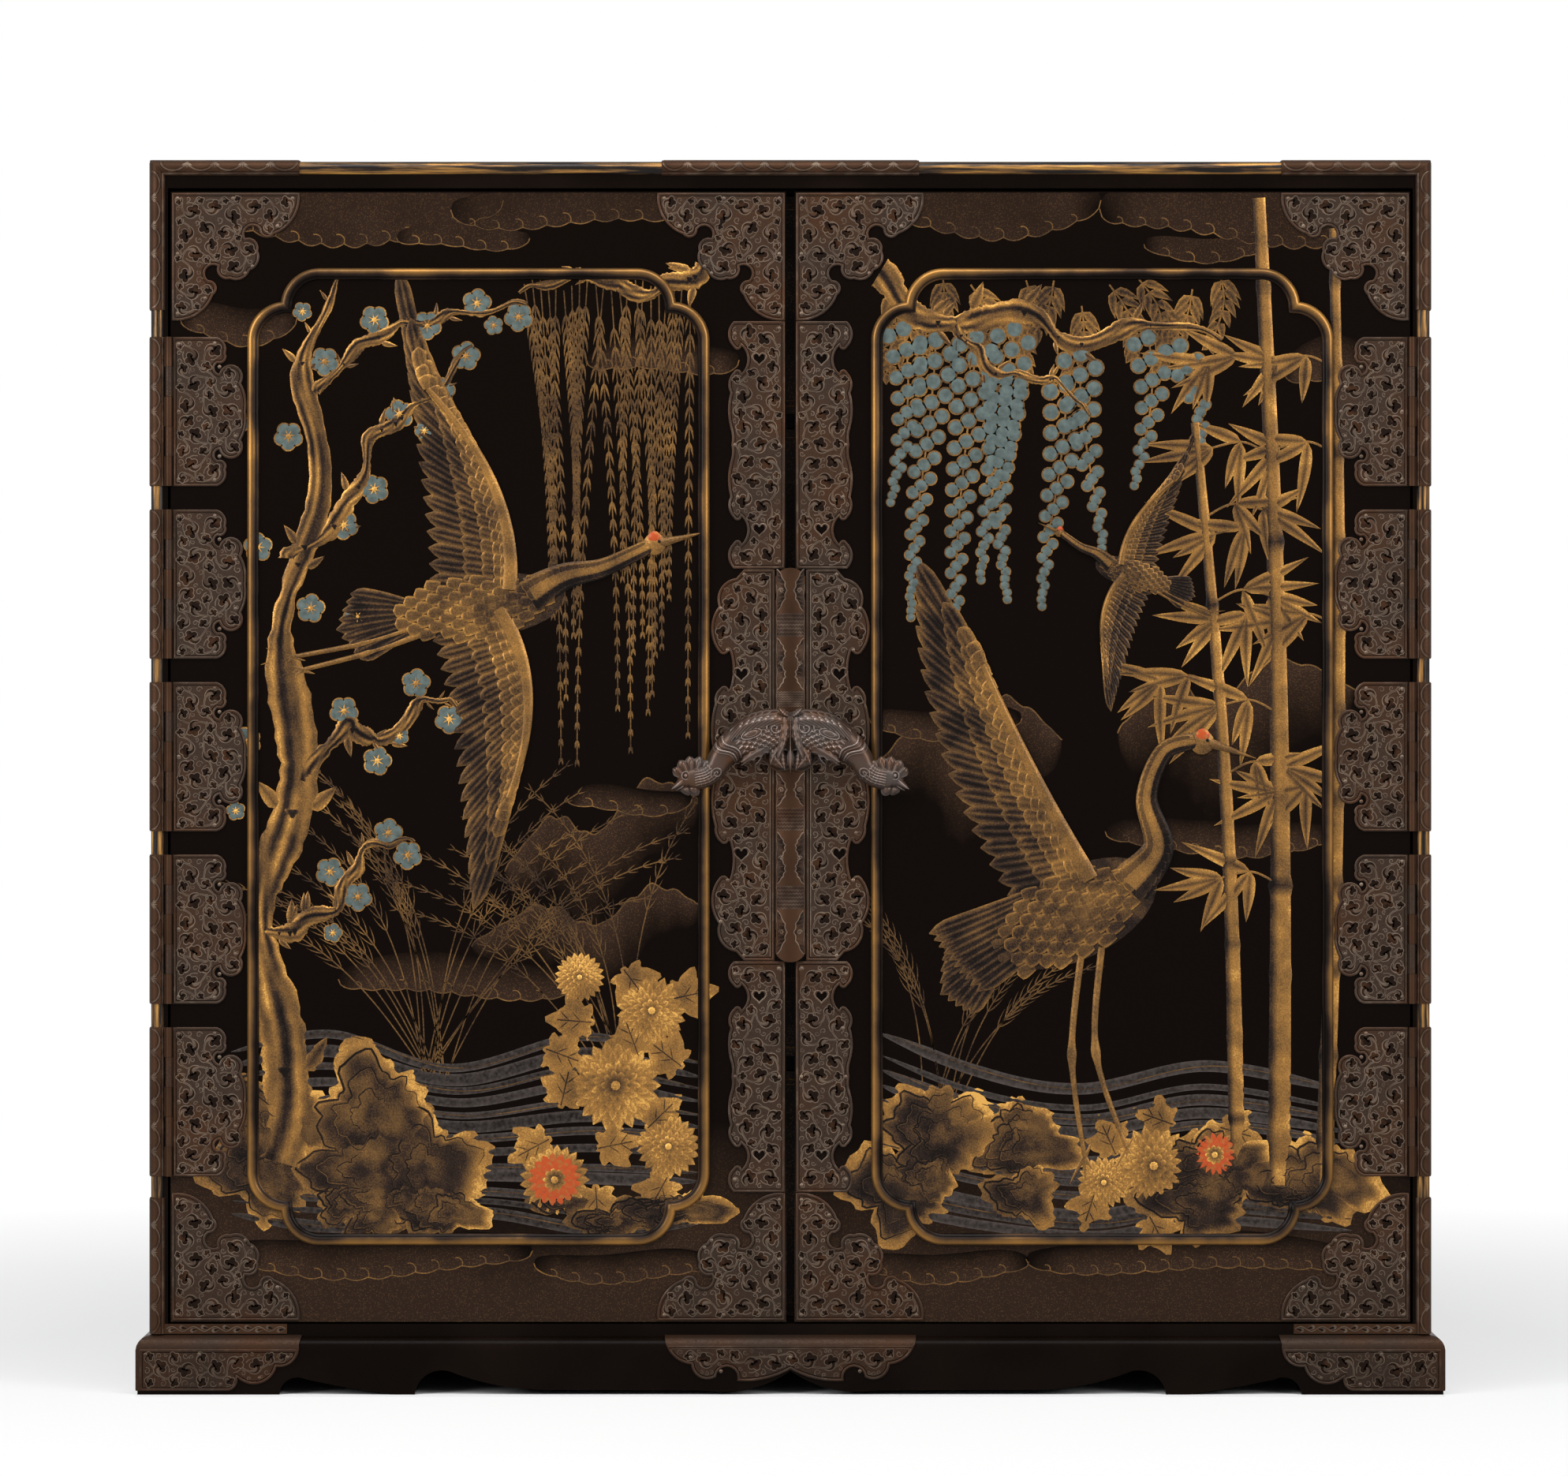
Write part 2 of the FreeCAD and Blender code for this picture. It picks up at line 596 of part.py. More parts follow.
def bottom_corner_mount(side):
    """Mount at a bottom front corner: the edge, a strip along the bottom board, a plate on the side."""
    wall = d.mount_thickness
    edge = face(cap_outline(), on_side(side, mount_foot)).extrude(Vector(0, 0, d.foot_arm))
    flank = face(CORNER_OUTLINE, lambda point: Vector(
        side * half, front + point[0] * d.foot_arm, mount_foot + point[1] * d.foot_arm))
    strip_height = d.plinth_height + d.bottom_thickness - mount_foot
    start = d.bead_inset + d.bead_width
    ends = sorted((side * (half - start), side * (half - d.foot_arm)))
    strip = Part.makeBox(ends[1] - ends[0], wall, strip_height, Vector(ends[0], front - wall, mount_foot))
    return joined(edge, flank.extrude(Vector(side * wall, 0, 0)), strip)


def top_centre_mount():
    """Mount over the middle of the top edge, with a cusped plate on the top."""
    edge = face(cap_outline(), on_head(-d.top_mount_width / 2)).extrude(Vector(d.top_mount_width, 0, 0))
    cover = face(LEAF_OUTLINE, lambda point: Vector(
        (point[1] - 0.5) * d.top_mount_width, front + point[0] * d.wrap_depth, case_top))
    return joined(edge, cover.extrude(Vector(0, 0, d.mount_thickness)))


node(formed("top_left_corner_mount", top_corner_mount(LEFT)))
node(formed("top_right_corner_mount", top_corner_mount(RIGHT)))
node(formed("top_centre_mount", top_centre_mount()))
node(formed("bottom_left_corner_mount", bottom_corner_mount(LEFT)))
node(formed("bottom_right_corner_mount", bottom_corner_mount(RIGHT)))


# Mounts on the plinth: sheet metal that follows its front, its ends and its round shoulder

def plinth_block(grown):
    """The plinth as one block with a round shoulder, grown by some thickness."""
    block = Part.makeBox(
        2 * (plinth_half + grown), plinth_back - plinth_front + 2 * grown, d.plinth_height + grown,
        Vector(-plinth_half - grown, plinth_front - grown, 0))
    rim = [edge for edge in block.Edges if edge.BoundBox.ZMin > d.plinth_height]
    return block.makeFillet(d.plinth_overhang + grown, rim)


case_block = Part.makeBox(
    d.body_width, d.body_depth, d.body_height, Vector(-half, front, d.plinth_height - d.mount_thickness))
sheet_metal = plinth_block(d.mount_gap + d.mount_thickness).cut(plinth_block(d.mount_gap)).cut(case_block)
metal_top = d.plinth_height + 2 * d.mount_thickness


def plinth_corner_outline():
    """Cusped outline from the corner of the plinth along a rail."""
    arm = d.plinth_arm
    tall = d.plinth_height
    wall = -2 * d.mount_thickness
    return stretches(
        (wall, metal_top), (wall, 0.07 * tall), (0.54 * arm, 0.07 * tall),
        ((0.60 * arm, 0.15 * tall), (0.61 * arm, 0.305 * tall)),
        ((0.745 * arm, 0.195 * tall), (0.85 * arm, 0.49 * tall)),
        ((0.95 * arm, 0.585 * tall), (0.985 * arm, 0.88 * tall)),
        (arm, metal_top), (wall, metal_top))


def plinth_corner_mount(side):
    """Mount round a front corner of the plinth."""
    reach = d.plinth_overhang + 2 * d.mount_thickness
    along_front = face(plinth_corner_outline(), lambda point: Vector(
        side * (plinth_half - point[0]), front - reach, point[1])).extrude(Vector(0, reach, 0))
    along_end = face(plinth_corner_outline(), lambda point: Vector(
        side * half, plinth_front + point[0], point[1])).extrude(Vector(side * reach, 0, 0))
    return sheet_metal.common(along_front.fuse(along_end)).removeSplitter()


def plinth_centre_mount():
    """Mount on the middle of the plinth, with an ogee in its lower edge."""
    end = d.plinth_mount_width / 2
    tall = d.plinth_height
    outline = with_mirror(stretches(
        (end, metal_top), ((0.967 * end, 0.78 * tall), (0.79 * end, 0.535 * tall)),
        ((0.757 * end, 0.365 * tall), (0.59 * end, 0.317 * tall)),
        ((0.49 * end, 0.49 * tall), (0.425 * end, 0.245 * tall)),
        ((0.22 * end, 0.27 * tall), (0, d.apron_rise + 1.5 * d.mount_thickness)),
    ), lambda point: (-point[0], point[1]))
    reach = d.plinth_overhang + 2 * d.mount_thickness
    region = face(outline, lambda point: Vector(point[0], front - reach, point[1]))
    return sheet_metal.common(region.extrude(Vector(0, reach, 0)))


node(formed("plinth_left_corner_mount", plinth_corner_mount(LEFT)))
node(formed("plinth_right_corner_mount", plinth_corner_mount(RIGHT)))
node(formed("plinth_centre_mount", plinth_centre_mount()))


# Hinges

hinge_middles = [door_middle + (number - (d.hinge_count - 1) / 2) * d.hinge_pitch
                 for number in range(int(d.hinge_count))]
knuckle_pitch = d.hinge_height / d.knuckle_count


def knuckles(side, middle, first, root):
    """Every second knuckle of a hinge, each with a tongue to the leaf's edge at the distance root."""
    near, far = sorted((side * axis_x, side * root))
    found = []
    for number in range(first, int(d.knuckle_count), 2):
        low = middle - d.hinge_height / 2 + number * knuckle_pitch + d.knuckle_gap / 2
        tall = knuckle_pitch - d.knuckle_gap
        found.append(Part.makeCylinder(d.knuckle_radius, tall, Vector(side * axis_x, axis_y, low)))
        found.append(Part.makeBox(far - near, d.plate_thickness, tall,
                                  Vector(near, front - d.plate_thickness, low)))
    return found


def bored(leaf, side, middle):
    """A leaf with the hole for its pin."""
    bottom = Vector(side * axis_x, axis_y, middle - d.hinge_height / 2)
    return leaf.cut(Part.makeCylinder(bore_radius, d.hinge_height, bottom))


def door_leaf(side, middle):
    """Cusped leaf on a door, with the even knuckles."""
    root = axis_x - d.knuckle_radius - 0.3
    plate = face(LEAF_OUTLINE, lambda point: Vector(
        side * (root - point[0] * (root - door_outer + d.leaf_width)), front,
        middle + (0.5 - point[1]) * d.hinge_height)).extrude(Vector(0, -d.plate_thickness, 0))
    return bored(joined(plate, *knuckles(side, middle, 1, root)), side, middle)


def case_leaf(side, middle):
    """Leaf over the front edge of the case and on its side, with the odd knuckles."""
    low = middle - d.hinge_height / 2
    edge = face(cap_outline(), on_side(side, low)).extrude(Vector(0, 0, d.hinge_height))
    flank = face(LEAF_OUTLINE, lambda point: Vector(
        side * half, front + point[0] * d.wrap_leaf_width, low + point[1] * d.hinge_height))
    root = half - d.bead_inset - d.bead_width - d.mount_gap
    return bored(joined(edge, flank.extrude(Vector(side * d.mount_thickness, 0, 0)),
                        *knuckles(side, middle, 0, root)), side, middle)


def hinge_pins(label, x):
    """A pin for each hinge of one side."""
    pins = []
    for number in range(int(d.hinge_count)):
        step = f"({number} - (hinge_count - 1)/2)*hinge_pitch"
        low = f"{DOOR_LOW} + {DOOR_HEIGHT}/2 + {step} - hinge_height/2"
        pins.append(rod(f"{label}_{number + 1}", (x, f"{FRONT} - hinge_standoff", low),
                        "pin_radius", "hinge_height"))
    return group(label, pins)


for label, side in (("left_case_hinge_leaves", LEFT), ("right_case_hinge_leaves", RIGHT)):
    node(formed(label, Part.makeCompound([case_leaf(side, middle) for middle in hinge_middles])))
node(hinge_pins("left_hinge_pins", "-" + HINGE_X))
node(hinge_pins("right_hinge_pins", HINGE_X))


# Doors

def moulding_path():
    """Middle line of a door's moulding: straight sides, and two lobes that meet in a cusp at each corner."""
    margin = d.moulding_margin
    wide = (door_outer - door_inner) / 2 - margin
    tall = (door_high - door_low) / 2 - margin
    lobe = d.lobe_radius
    bow = lobe * math.sqrt(0.5)
    quarter = stretches(
        (0, tall), (wide - 2 * lobe, tall),
        ((wide - 2 * lobe + bow, tall - lobe + bow), (wide - lobe, tall - lobe)),
        ((wide - lobe + bow, tall - 2 * lobe + bow), (wide, tall - 2 * lobe)),
        (wide, 0),
    )
    upper = mirrored(quarter, lambda point: (-point[0], point[1])) + quarter
    whole = upper + mirrored(upper, lambda point: (point[0], -point[1]))
    return [curve.toShape() for curve in curves(whole, lambda point: Vector(point[0], 0, point[1]))]


def moulding():
    """Half-round moulding, about the middle of a door's face."""
    path = Part.Wire(moulding_path())
    start = path.Vertexes[0].Point
    section = face(segment_outline(-d.moulding_width / 2, d.moulding_width / 2, d.moulding_rise),
                   lambda point: start + Vector(point[0], -point[1], 0))
    pipe = Part.BRepOffsetAPI.MakePipeShell(path)
    pipe.setTransitionMode(1)
    pipe.setBiNormalMode(Vector(0, 1, 0))
    pipe.add(section.OuterWire, False, False)
    pipe.build()
    pipe.makeSolid()
    return pipe.shape()


def heart(middle, tall):
    """Heart-shaped piercing of a plate."""
    return curves(HEART, lambda point: Vector(middle[0] + point[0] * tall, middle[1] + point[1] * tall, 0))


def door_plates(name, side):
    """The engraved plates of one door, apart from its hinge leaves."""
    inner = door_inner + d.plate_inset
    outer = door_outer - d.plate_inset
    high = door_high - d.plate_inset
    low = door_low + d.plate_inset
    corners = [(outer, -1, high, -1), (inner, 1, high, -1), (outer, -1, low, 1), (inner, 1, low, 1)]
    node(padded(f"{name}_corner_plates", "XZ_Plane", "-" + FRONT, [
        curves(CORNER_OUTLINE, lambda point: Vector(
            side * (x + across * point[0] * d.corner_plate), z + up * point[1] * d.corner_plate, 0))
        for x, across, z, up in corners
    ], "plate_thickness"))

    bar_edge = d.lock_bar_width / 2 + d.seam
    lock_reach = door_inner + d.lock_plate_reach - bar_edge
    lock_low = lock_middle - d.lock_plate_height / 2
    lock_high = lock_middle + d.lock_plate_height / 2

    def lock_spot(point):
        return Vector(
            side * (bar_edge + point[0] * lock_reach), lock_high - point[1] * d.lock_plate_height, 0)

    hearts = [heart(lock_spot((0.52, share)), 9) for share in (0.27, 0.73)]
    node(padded(f"{name}_lock_plate", "XZ_Plane", "-" + FRONT, [curves(LOCK_OUTLINE, lock_spot)] + hearts,
                "plate_thickness"))

    stiles = []
    for near, far in ((lock_high + d.seam, high - d.corner_plate - d.seam),
                      (low + d.corner_plate + d.seam, lock_low - d.seam)):
        def stile_spot(point):
            return Vector(side * (inner + point[0] * d.stile_plate_width), near + point[1] * (far - near), 0)
        stiles.append(curves(STILE_OUTLINE, stile_spot))
        stiles += [heart(stile_spot((0.45, share)), 8) for share in (0.155, 0.845)]
    node(padded(f"{name}_stile_plates", "XZ_Plane", "-" + FRONT, stiles, "plate_thickness"))


door_extent = (DOOR_WIDTH, "door_thickness", DOOR_HEIGHT)
for name, side, door_x in (
        ("left_door", LEFT, f"-{INSIDE_HALF} + door_side_gap"), ("right_door", RIGHT, "door_meeting_gap/2")):
    node(box(f"{name}_board", (door_x, FRONT, DOOR_LOW), door_extent))
    node(place(formed(f"{name}_moulding", moulding()),
               (f"{door_x} + {DOOR_WIDTH}/2", FRONT, f"{DOOR_LOW} + {DOOR_HEIGHT}/2")))
    leaves = [door_leaf(side, middle) for middle in hinge_middles]
    node(formed(f"{name}_hinge_leaves", Part.makeCompound(leaves)))
    door_plates(name, side)


# Bar over the meeting gap, fixed to the right door and lapping over the left one

def lock_bar():
    """Convex bar with round, slightly waisted ends."""
    wide = d.lock_bar_width / 2
    tall = d.lock_bar_length / 2
    end = stretches(
        (wide, 0), (wide, tall - 2.2 * wide),
        ((wide * 0.93, tall - 1.9 * wide), (wide, tall - 1.6 * wide)),
        ((wide * 0.66, tall - 0.2 * wide), (0, tall)))
    upper = end + mirrored(end, lambda point: (-point[0], point[1]))
    whole = upper + mirrored(upper, lambda point: (point[0], -point[1]))
    outline = face(whole, lambda point: Vector(point[0], front, lock_middle + point[1]))
    flat = d.lock_bar_rise / 3
    section = face(
        stretches((-wide, 0), (-wide, flat), ((0, d.lock_bar_rise), (wide, flat)), (wide, 0), (-wide, 0)),
        lambda point: Vector(point[0], front - point[1], lock_middle - tall))
    bar = outline.extrude(Vector(0, -d.lock_bar_rise, 0)).common(section.extrude(Vector(0, 0, 2 * tall)))
    lap = Part.makeBox(
        wide + door_inner, d.lap_gap, 2 * tall, Vector(-wide, front - d.lap_gap, lock_middle - tall))
    hole = Part.makeCylinder(
        d.latch_pin_radius, d.lock_bar_rise, Vector(0, front, latch_middle), Vector(0, -1, 0))
    return bar.cut(lap).cut(hole)


node(formed("lock_bar", lock_bar()))


# Latch: two crested birds, tail to tail, that turn together on a pin in the bar

# One bird from the pivot outwards: back, neck, comb of four lobes, beak, wattle, throat, belly, leaf
BIRD_OUTLINE = stretches(
    (0, 24), ((15, 25.5), (35, 18.5)), ((41.5, 7), (50, 1)), ((57.5, -2), (61, -9.5)),
    ((64.5, -7), (68, -10.5)), ((72.5, -7.5), (76, -12)), ((81.5, -12), (81.5, -18)),
    ((85, -21.5), (82, -25)), (85.5, -31.5), (78.5, -32),
    ((73.5, -37.5), (66.5, -33.5)), ((53, -34.5), (44.5, -22)), ((40, -14), (31, -12)),
    (12, -13), ((7, -18.5), (0, -22)),
)
BIRD_REACH = 85.5


def bird_latch():
    """Both birds in relief: an outline, domed along and across, flat at the back and bored for the pin."""
    deep = d.latch_depth
    scale = d.latch_width / 2 / BIRD_REACH
    high, low = 26 * scale, -38.5 * scale

    def flip(point):
        return (-point[0], point[1])

    relief = face(BIRD_OUTLINE + mirrored(BIRD_OUTLINE, flip), lambda point: Vector(
        scale * point[0], latch_back, latch_middle + scale * point[1])).extrude(Vector(0, -deep, 0))
    wide = scale * (BIRD_REACH + 1.5)
    ridge = stretches(
        (0, 0.81 * deep), ((0.24 * wide, deep), (0.5 * wide, 0.78 * deep)),
        ((0.62 * wide, 0.655 * deep), (0.735 * wide, 0.72 * deep)),
        ((0.86 * wide, 0.78 * deep), (wide, 0.44 * deep)), (wide, 0))
    along = ridge + [((wide, 0), None, (-wide, 0))] + mirrored(ridge, flip)
    lengthwise = face(along, lambda point: Vector(
        point[0], latch_back - point[1], latch_middle + low)).extrude(Vector(0, 0, high - low))
    across = stretches(
        (low, 0), (low, deep / 5), (((low + high) / 2, deep), (high, deep / 4)), (high, 0), (low, 0))
    crosswise = face(across, lambda point: Vector(
        -wide, latch_back - point[1], latch_middle + point[0])).extrude(Vector(2 * wide, 0, 0))
    bore = Part.makeCylinder(d.latch_pin_radius + d.pin_clearance, 2 * deep,
                             Vector(0, latch_back, latch_middle), Vector(0, -1, 0))
    seat = Part.makeCylinder(d.latch_head_radius + d.latch_gap, deep,
                             Vector(0, latch_back - d.latch_head_seat, latch_middle), Vector(0, -1, 0))
    return relief.common(lengthwise).common(crosswise).cut(bore).cut(seat)


node(formed("bird_latch", bird_latch()))
node(fuse("latch_pin", [
    rod("latch_pin_shank", ("0", FRONT, LATCH_MIDDLE), "latch_pin_radius",
        "lock_bar_rise + latch_gap + latch_head_seat + 1", FORWARD),
    rod("latch_pin_head", ("0", f"{FRONT} - lock_bar_rise - 2*latch_gap - latch_head_seat", LATCH_MIDDLE),
        "latch_head_radius", "latch_head_height", FORWARD),
]))


# Lock behind the doors: case and bolt on the right one, keep on the left one

BOLT_LOW = f"({LOCK_MIDDLE} - bolt_height/2)"
BOLT_FRONT = f"({DOOR_BACK} + (lock_case_depth - bolt_thickness)/2)"
LOCK_X = "(door_meeting_gap/2 + lock_setback)"
slot_section = ("bolt_thickness + 2*bolt_gap", "bolt_height + 2*bolt_gap")
node(cut("lock_case",
         box("lock_case_block", (LOCK_X, DOOR_BACK, f"{LOCK_MIDDLE} - lock_case_height/2"),
             ("lock_case_width", "lock_case_depth", "lock_case_height")),
         box("lock_case_slot", (LOCK_X, f"{BOLT_FRONT} - bolt_gap", f"{BOLT_LOW} - bolt_gap"),
             ("bolt_length + bolt_gap",) + slot_section)))
node(box("lock_bolt", (LOCK_X, BOLT_FRONT, BOLT_LOW), ("bolt_length", "bolt_thickness", "bolt_height")))
node(cut("lock_keep",
         box("lock_keep_block", (f"-{LOCK_X} - keep_width", DOOR_BACK, f"{LOCK_MIDDLE} - lock_case_height/4"),
             ("keep_width", "lock_case_depth", "lock_case_height/2")),
         box("lock_keep_slot",
             (f"-{LOCK_X} - keep_width*3/4", f"{BOLT_FRONT} - bolt_gap", f"{BOLT_LOW} - bolt_gap"),
             ("keep_width*3/4",) + slot_section)))


# Build, check and write

doc.recompute()
for item in doc.Objects:
    if "Invalid" in item.State or "Error" in item.State:
        raise RuntimeError(f"{item.Label} failed: {item.State}")
os.makedirs("parts", exist_ok=True)
for item in nodes:
    if item.Shape.isNull() or not item.Shape.Solids or not item.Shape.isValid():
        raise RuntimeError(f"{item.Label} has no valid solid")
    item.Shape.exportStep(f"parts/{item.Label}.step")
print(len(nodes), "sub-parts")
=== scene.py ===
import functools

import bmesh
import bpy
import numpy as np
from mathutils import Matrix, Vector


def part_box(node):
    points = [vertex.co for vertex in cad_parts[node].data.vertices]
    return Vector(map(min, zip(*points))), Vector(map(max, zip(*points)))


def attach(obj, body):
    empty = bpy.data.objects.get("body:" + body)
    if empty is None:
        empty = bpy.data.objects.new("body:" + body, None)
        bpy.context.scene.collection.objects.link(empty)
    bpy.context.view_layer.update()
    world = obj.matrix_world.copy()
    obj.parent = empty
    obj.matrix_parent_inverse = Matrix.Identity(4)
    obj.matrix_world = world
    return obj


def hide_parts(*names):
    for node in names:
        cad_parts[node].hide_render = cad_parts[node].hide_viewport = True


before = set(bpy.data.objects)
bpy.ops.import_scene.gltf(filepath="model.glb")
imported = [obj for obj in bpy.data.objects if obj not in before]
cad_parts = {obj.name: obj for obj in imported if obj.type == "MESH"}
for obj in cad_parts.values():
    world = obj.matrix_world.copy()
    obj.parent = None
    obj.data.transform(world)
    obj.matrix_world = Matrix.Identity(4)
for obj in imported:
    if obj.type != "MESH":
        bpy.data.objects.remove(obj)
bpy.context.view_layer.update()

bl_info = {
    "name": "Lacquer cabinet",
    "version": (1, 0, 0),
    "blender": (4, 5, 0),
    "location": "View3D > Sidebar > Cabinet",
    "description": "Dresses a two-door lacquer cabinet in lacquer, engraved mounts and gold pictures",
    "category": "Object",
}

# Millimetres in the working, metres in the meshes. +X is to the right, +Y to the back, +Z up.
TURN = 2 * np.pi
SIDES = {"left_door": -1, "right_door": 1}


def span(node):
    """Lowest and highest corner of a CAD node, in millimetres."""
    return [np.array(corner) * 1000 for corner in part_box(node)]


DOOR_LOW, DOOR_HIGH = span("right_door_board")
FRONT = DOOR_LOW[1]
CASE_SIDE = span("right_side_board")[1][0]
CASE_TOP = span("top_board")[1][2]
BAR_LOW, BAR_HIGH = span("lock_bar")
LOCK_MIDDLE = (BAR_LOW[2] + BAR_HIGH[2]) / 2
LATCH_MIDDLE = np.mean([corner[2] for corner in span("latch_pin")])
PLATE = FRONT - span("right_door_corner_plates")[0][1]
DRAWERS = sorted(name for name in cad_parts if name.endswith("_drawer"))


# Colours and sizes that a user would change

def linear(code):
    """An sRGB hex colour as linear red, green and blue."""
    part = np.array([int(code[place:place + 2], 16) for place in (1, 3, 5)]) / 255
    return tuple(np.where(part <= 0.04045, part / 12.92, ((part + 0.055) / 1.055) ** 2.4))


def tint(name, description, code):
    """A colour setting with its default."""
    return bpy.props.FloatVectorProperty(
        name=name, description=description, subtype="COLOR", min=0, max=1, default=linear(code))


def measure(name, description, millimetres):
    """A size setting with its default."""
    return bpy.props.FloatProperty(
        name=name, description=description, unit="LENGTH", precision=5, min=0, default=millimetres / 1000)


class CabinetColours(bpy.types.PropertyGroup):
    """Colours of the lacquers, the metals and the gold."""
    black: tint("Black lacquer", "Polished black lacquer", "#0a0503")
    brown: tint("Brown lacquer", "Sprinkled brown lacquer of the mist and the ground", "#2a1e17")
    fleck: tint("Flecks", "Gold flecks in the brown lacquer", "#7d5a34")
    gold: tint("Gold", "Gold powder and gold leaf", "#946a36")
    bright: tint("Bright gold", "Gold where it is rubbed bright", "#d09d50")
    dull: tint("Dull gold", "Thinly strewn gold", "#5f4528")
    copper: tint("Copper", "Patinated copper of the mounts", "#392d25")
    russet: tint("Russet", "Warmer patches of the patina", "#452c1c")
    line: tint("Engraved line", "Bright cut of the graver", "#78695b")
    # Recess also colours the painted shade that darkens the mounts near the floor.
    recess: tint("Recess", "Sunk ground of the engraved leaves", "#170d07")
    rubbed: tint("Rubbed copper", "Copper where hands have rubbed it", "#483122")
    # Tarnish, 3.4 times as bright, is also the colour of the painted highlights on the latch.
    tarnish: tint("Tarnished silver", "Grey washes of the water", "#4c4440")
    shell: tint("Shell", "Blue-grey inlay", "#525d5a")
    red: tint("Red lacquer", "Orange-red accents", "#a4431c")


class CabinetSizes(bpy.types.PropertyGroup):
    """Sizes of the ornament."""
    rim: measure("Rim", "Width of the raised rim along a plate", 1.5)
    line: measure("Line", "Width of an engraved line", 0.6)
    scroll: measure("Scroll", "Largest radius of a scroll in the engraving", 7.0)
    nail: measure("Nail", "Width of a nail head", 2.8)


def setting(name):
    """A size setting in millimetres."""
    return round(getattr(bpy.context.scene.cabinet_sizes, name) * 1000, 4)


# Surfaces

class Surface:
    """Grids of points in millimetres, gathered into the mesh of one piece."""

    def __init__(self):
        self.points, self.faces, self.tones, self.total = [], [], [], 0

    def add(self, grid, tone=0.5, out=(0, -1, 0)):
        """Quads between the neighbours of (..., rows, columns, 3) points, each turned to face out."""
        grid = np.asarray(grid, float)
        grid = grid.reshape(-1, *grid.shape[-3:])
        index = np.arange(grid[..., 0].size).reshape(grid.shape[:3])
        quads = np.stack(
            [index[:, :-1, :-1], index[:, 1:, :-1], index[:, 1:, 1:], index[:, :-1, 1:]], -1).reshape(-1, 4)
        flat = grid.reshape(-1, 3)
        if out is not None:
            one, two, three, four = (flat[quads[:, corner]] for corner in range(4))
            turned = np.cross(three - one, four - two) @ np.asarray(out, float) < 0
            quads[turned] = quads[turned][:, ::-1]
        self.points.append(flat)
        self.faces.append(quads + self.total)
        self.tones.append(np.broadcast_to(tone, grid.shape[:3]).ravel())
        self.total += len(flat)

    def make(self, name, body, look, slot):
        """One object at the origin that rides on a body, with its doubles merged."""
        faces = np.concatenate(self.faces)
        mesh = bpy.data.meshes.new(name)
        mesh.vertices.add(self.total)
        mesh.vertices.foreach_set("co", (np.concatenate(self.points) * 0.001).ravel())
        mesh.loops.add(faces.size)
        mesh.loops.foreach_set("vertex_index", faces.ravel())
        mesh.polygons.add(len(faces))
        mesh.polygons.foreach_set("loop_start", np.arange(0, faces.size, 4))
        mesh.update(calc_edges=True)
        mesh.attributes.new("tone", "FLOAT", "POINT").data.foreach_set("value", np.concatenate(self.tones))
        merged = bmesh.new()
        merged.from_mesh(mesh)
        bmesh.ops.remove_doubles(merged, verts=merged.verts, dist=2e-6)
        merged.to_mesh(mesh)
        merged.free()
        mesh.shade_smooth()
        mesh.materials.append(look)
        piece = bpy.data.objects.new(name, mesh)
        bpy.context.scene.collection.objects.link(piece)
        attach(piece, body)
        return piece


def on_front(grid, base=0.0):
    """Puts (across, up, height) on the face of the doors."""
    return np.stack([grid[..., 0], FRONT - base - grid[..., 2], grid[..., 1]], -1)


def smooth(points, count):
    """Even curve through points (..., n, m): between two of them a cubic whose slopes come from their
    neighbours."""
    points = np.asarray(points, float)
    last = points.shape[-2] - 1
    place = np.linspace(0, last, count)
    first = np.minimum(place.astype(int), last - 1)
    share = (place - first)[:, None]
    one, two = points[..., first, :], points[..., first + 1, :]
    before = points[..., np.maximum(first - 1, 0), :]
    after = points[..., np.minimum(first + 2, last), :]
    slope, other = (two - before) / 2, (after - one) / 2
    return (one + slope * share + (3 * (two - one) - 2 * slope - other) * share ** 2
            + (2 * (one - two) + slope + other) * share ** 3)


def unit(angle):
    """Unit vectors of angles."""
    return np.stack([np.cos(angle), np.sin(angle)], -1)


def heading(runs):
    """Angles of runs (..., 2)."""
    return np.arctan2(runs[..., 1], runs[..., 0])


def normals(runs):
    """Unit vectors to the left of runs (..., 2)."""
    ahead = runs / (np.linalg.norm(runs, axis=-1, keepdims=True) + 1e-9)
    return np.stack([-ahead[..., 1], ahead[..., 0]], -1)


def ribbons(paths, width, rise, lift=0.0, columns=3, power=1.0):
    """Raised lines: v runs across a path at right angles to it, the half width is width/2, and the height
    is lift + rise*(1 - v*v)**power."""
    paths = np.asarray(paths, float)
    paths = paths.reshape(-1, *paths.shape[-2:])
    normal = normals(np.gradient(paths, axis=1))
    v = np.linspace(-1, 1, columns)
    half, rise, lift = (
        np.broadcast_to(value, paths.shape[:2])[:, :, None]
        for value in (0.5 * np.asarray(width), rise, lift))
    flat = paths[:, :, None] + (half * v)[..., None] * normal[:, :, None]
    height = lift + rise * np.maximum(1 - v * v, 0) ** power
    return np.concatenate([flat, height[..., None]], -1)


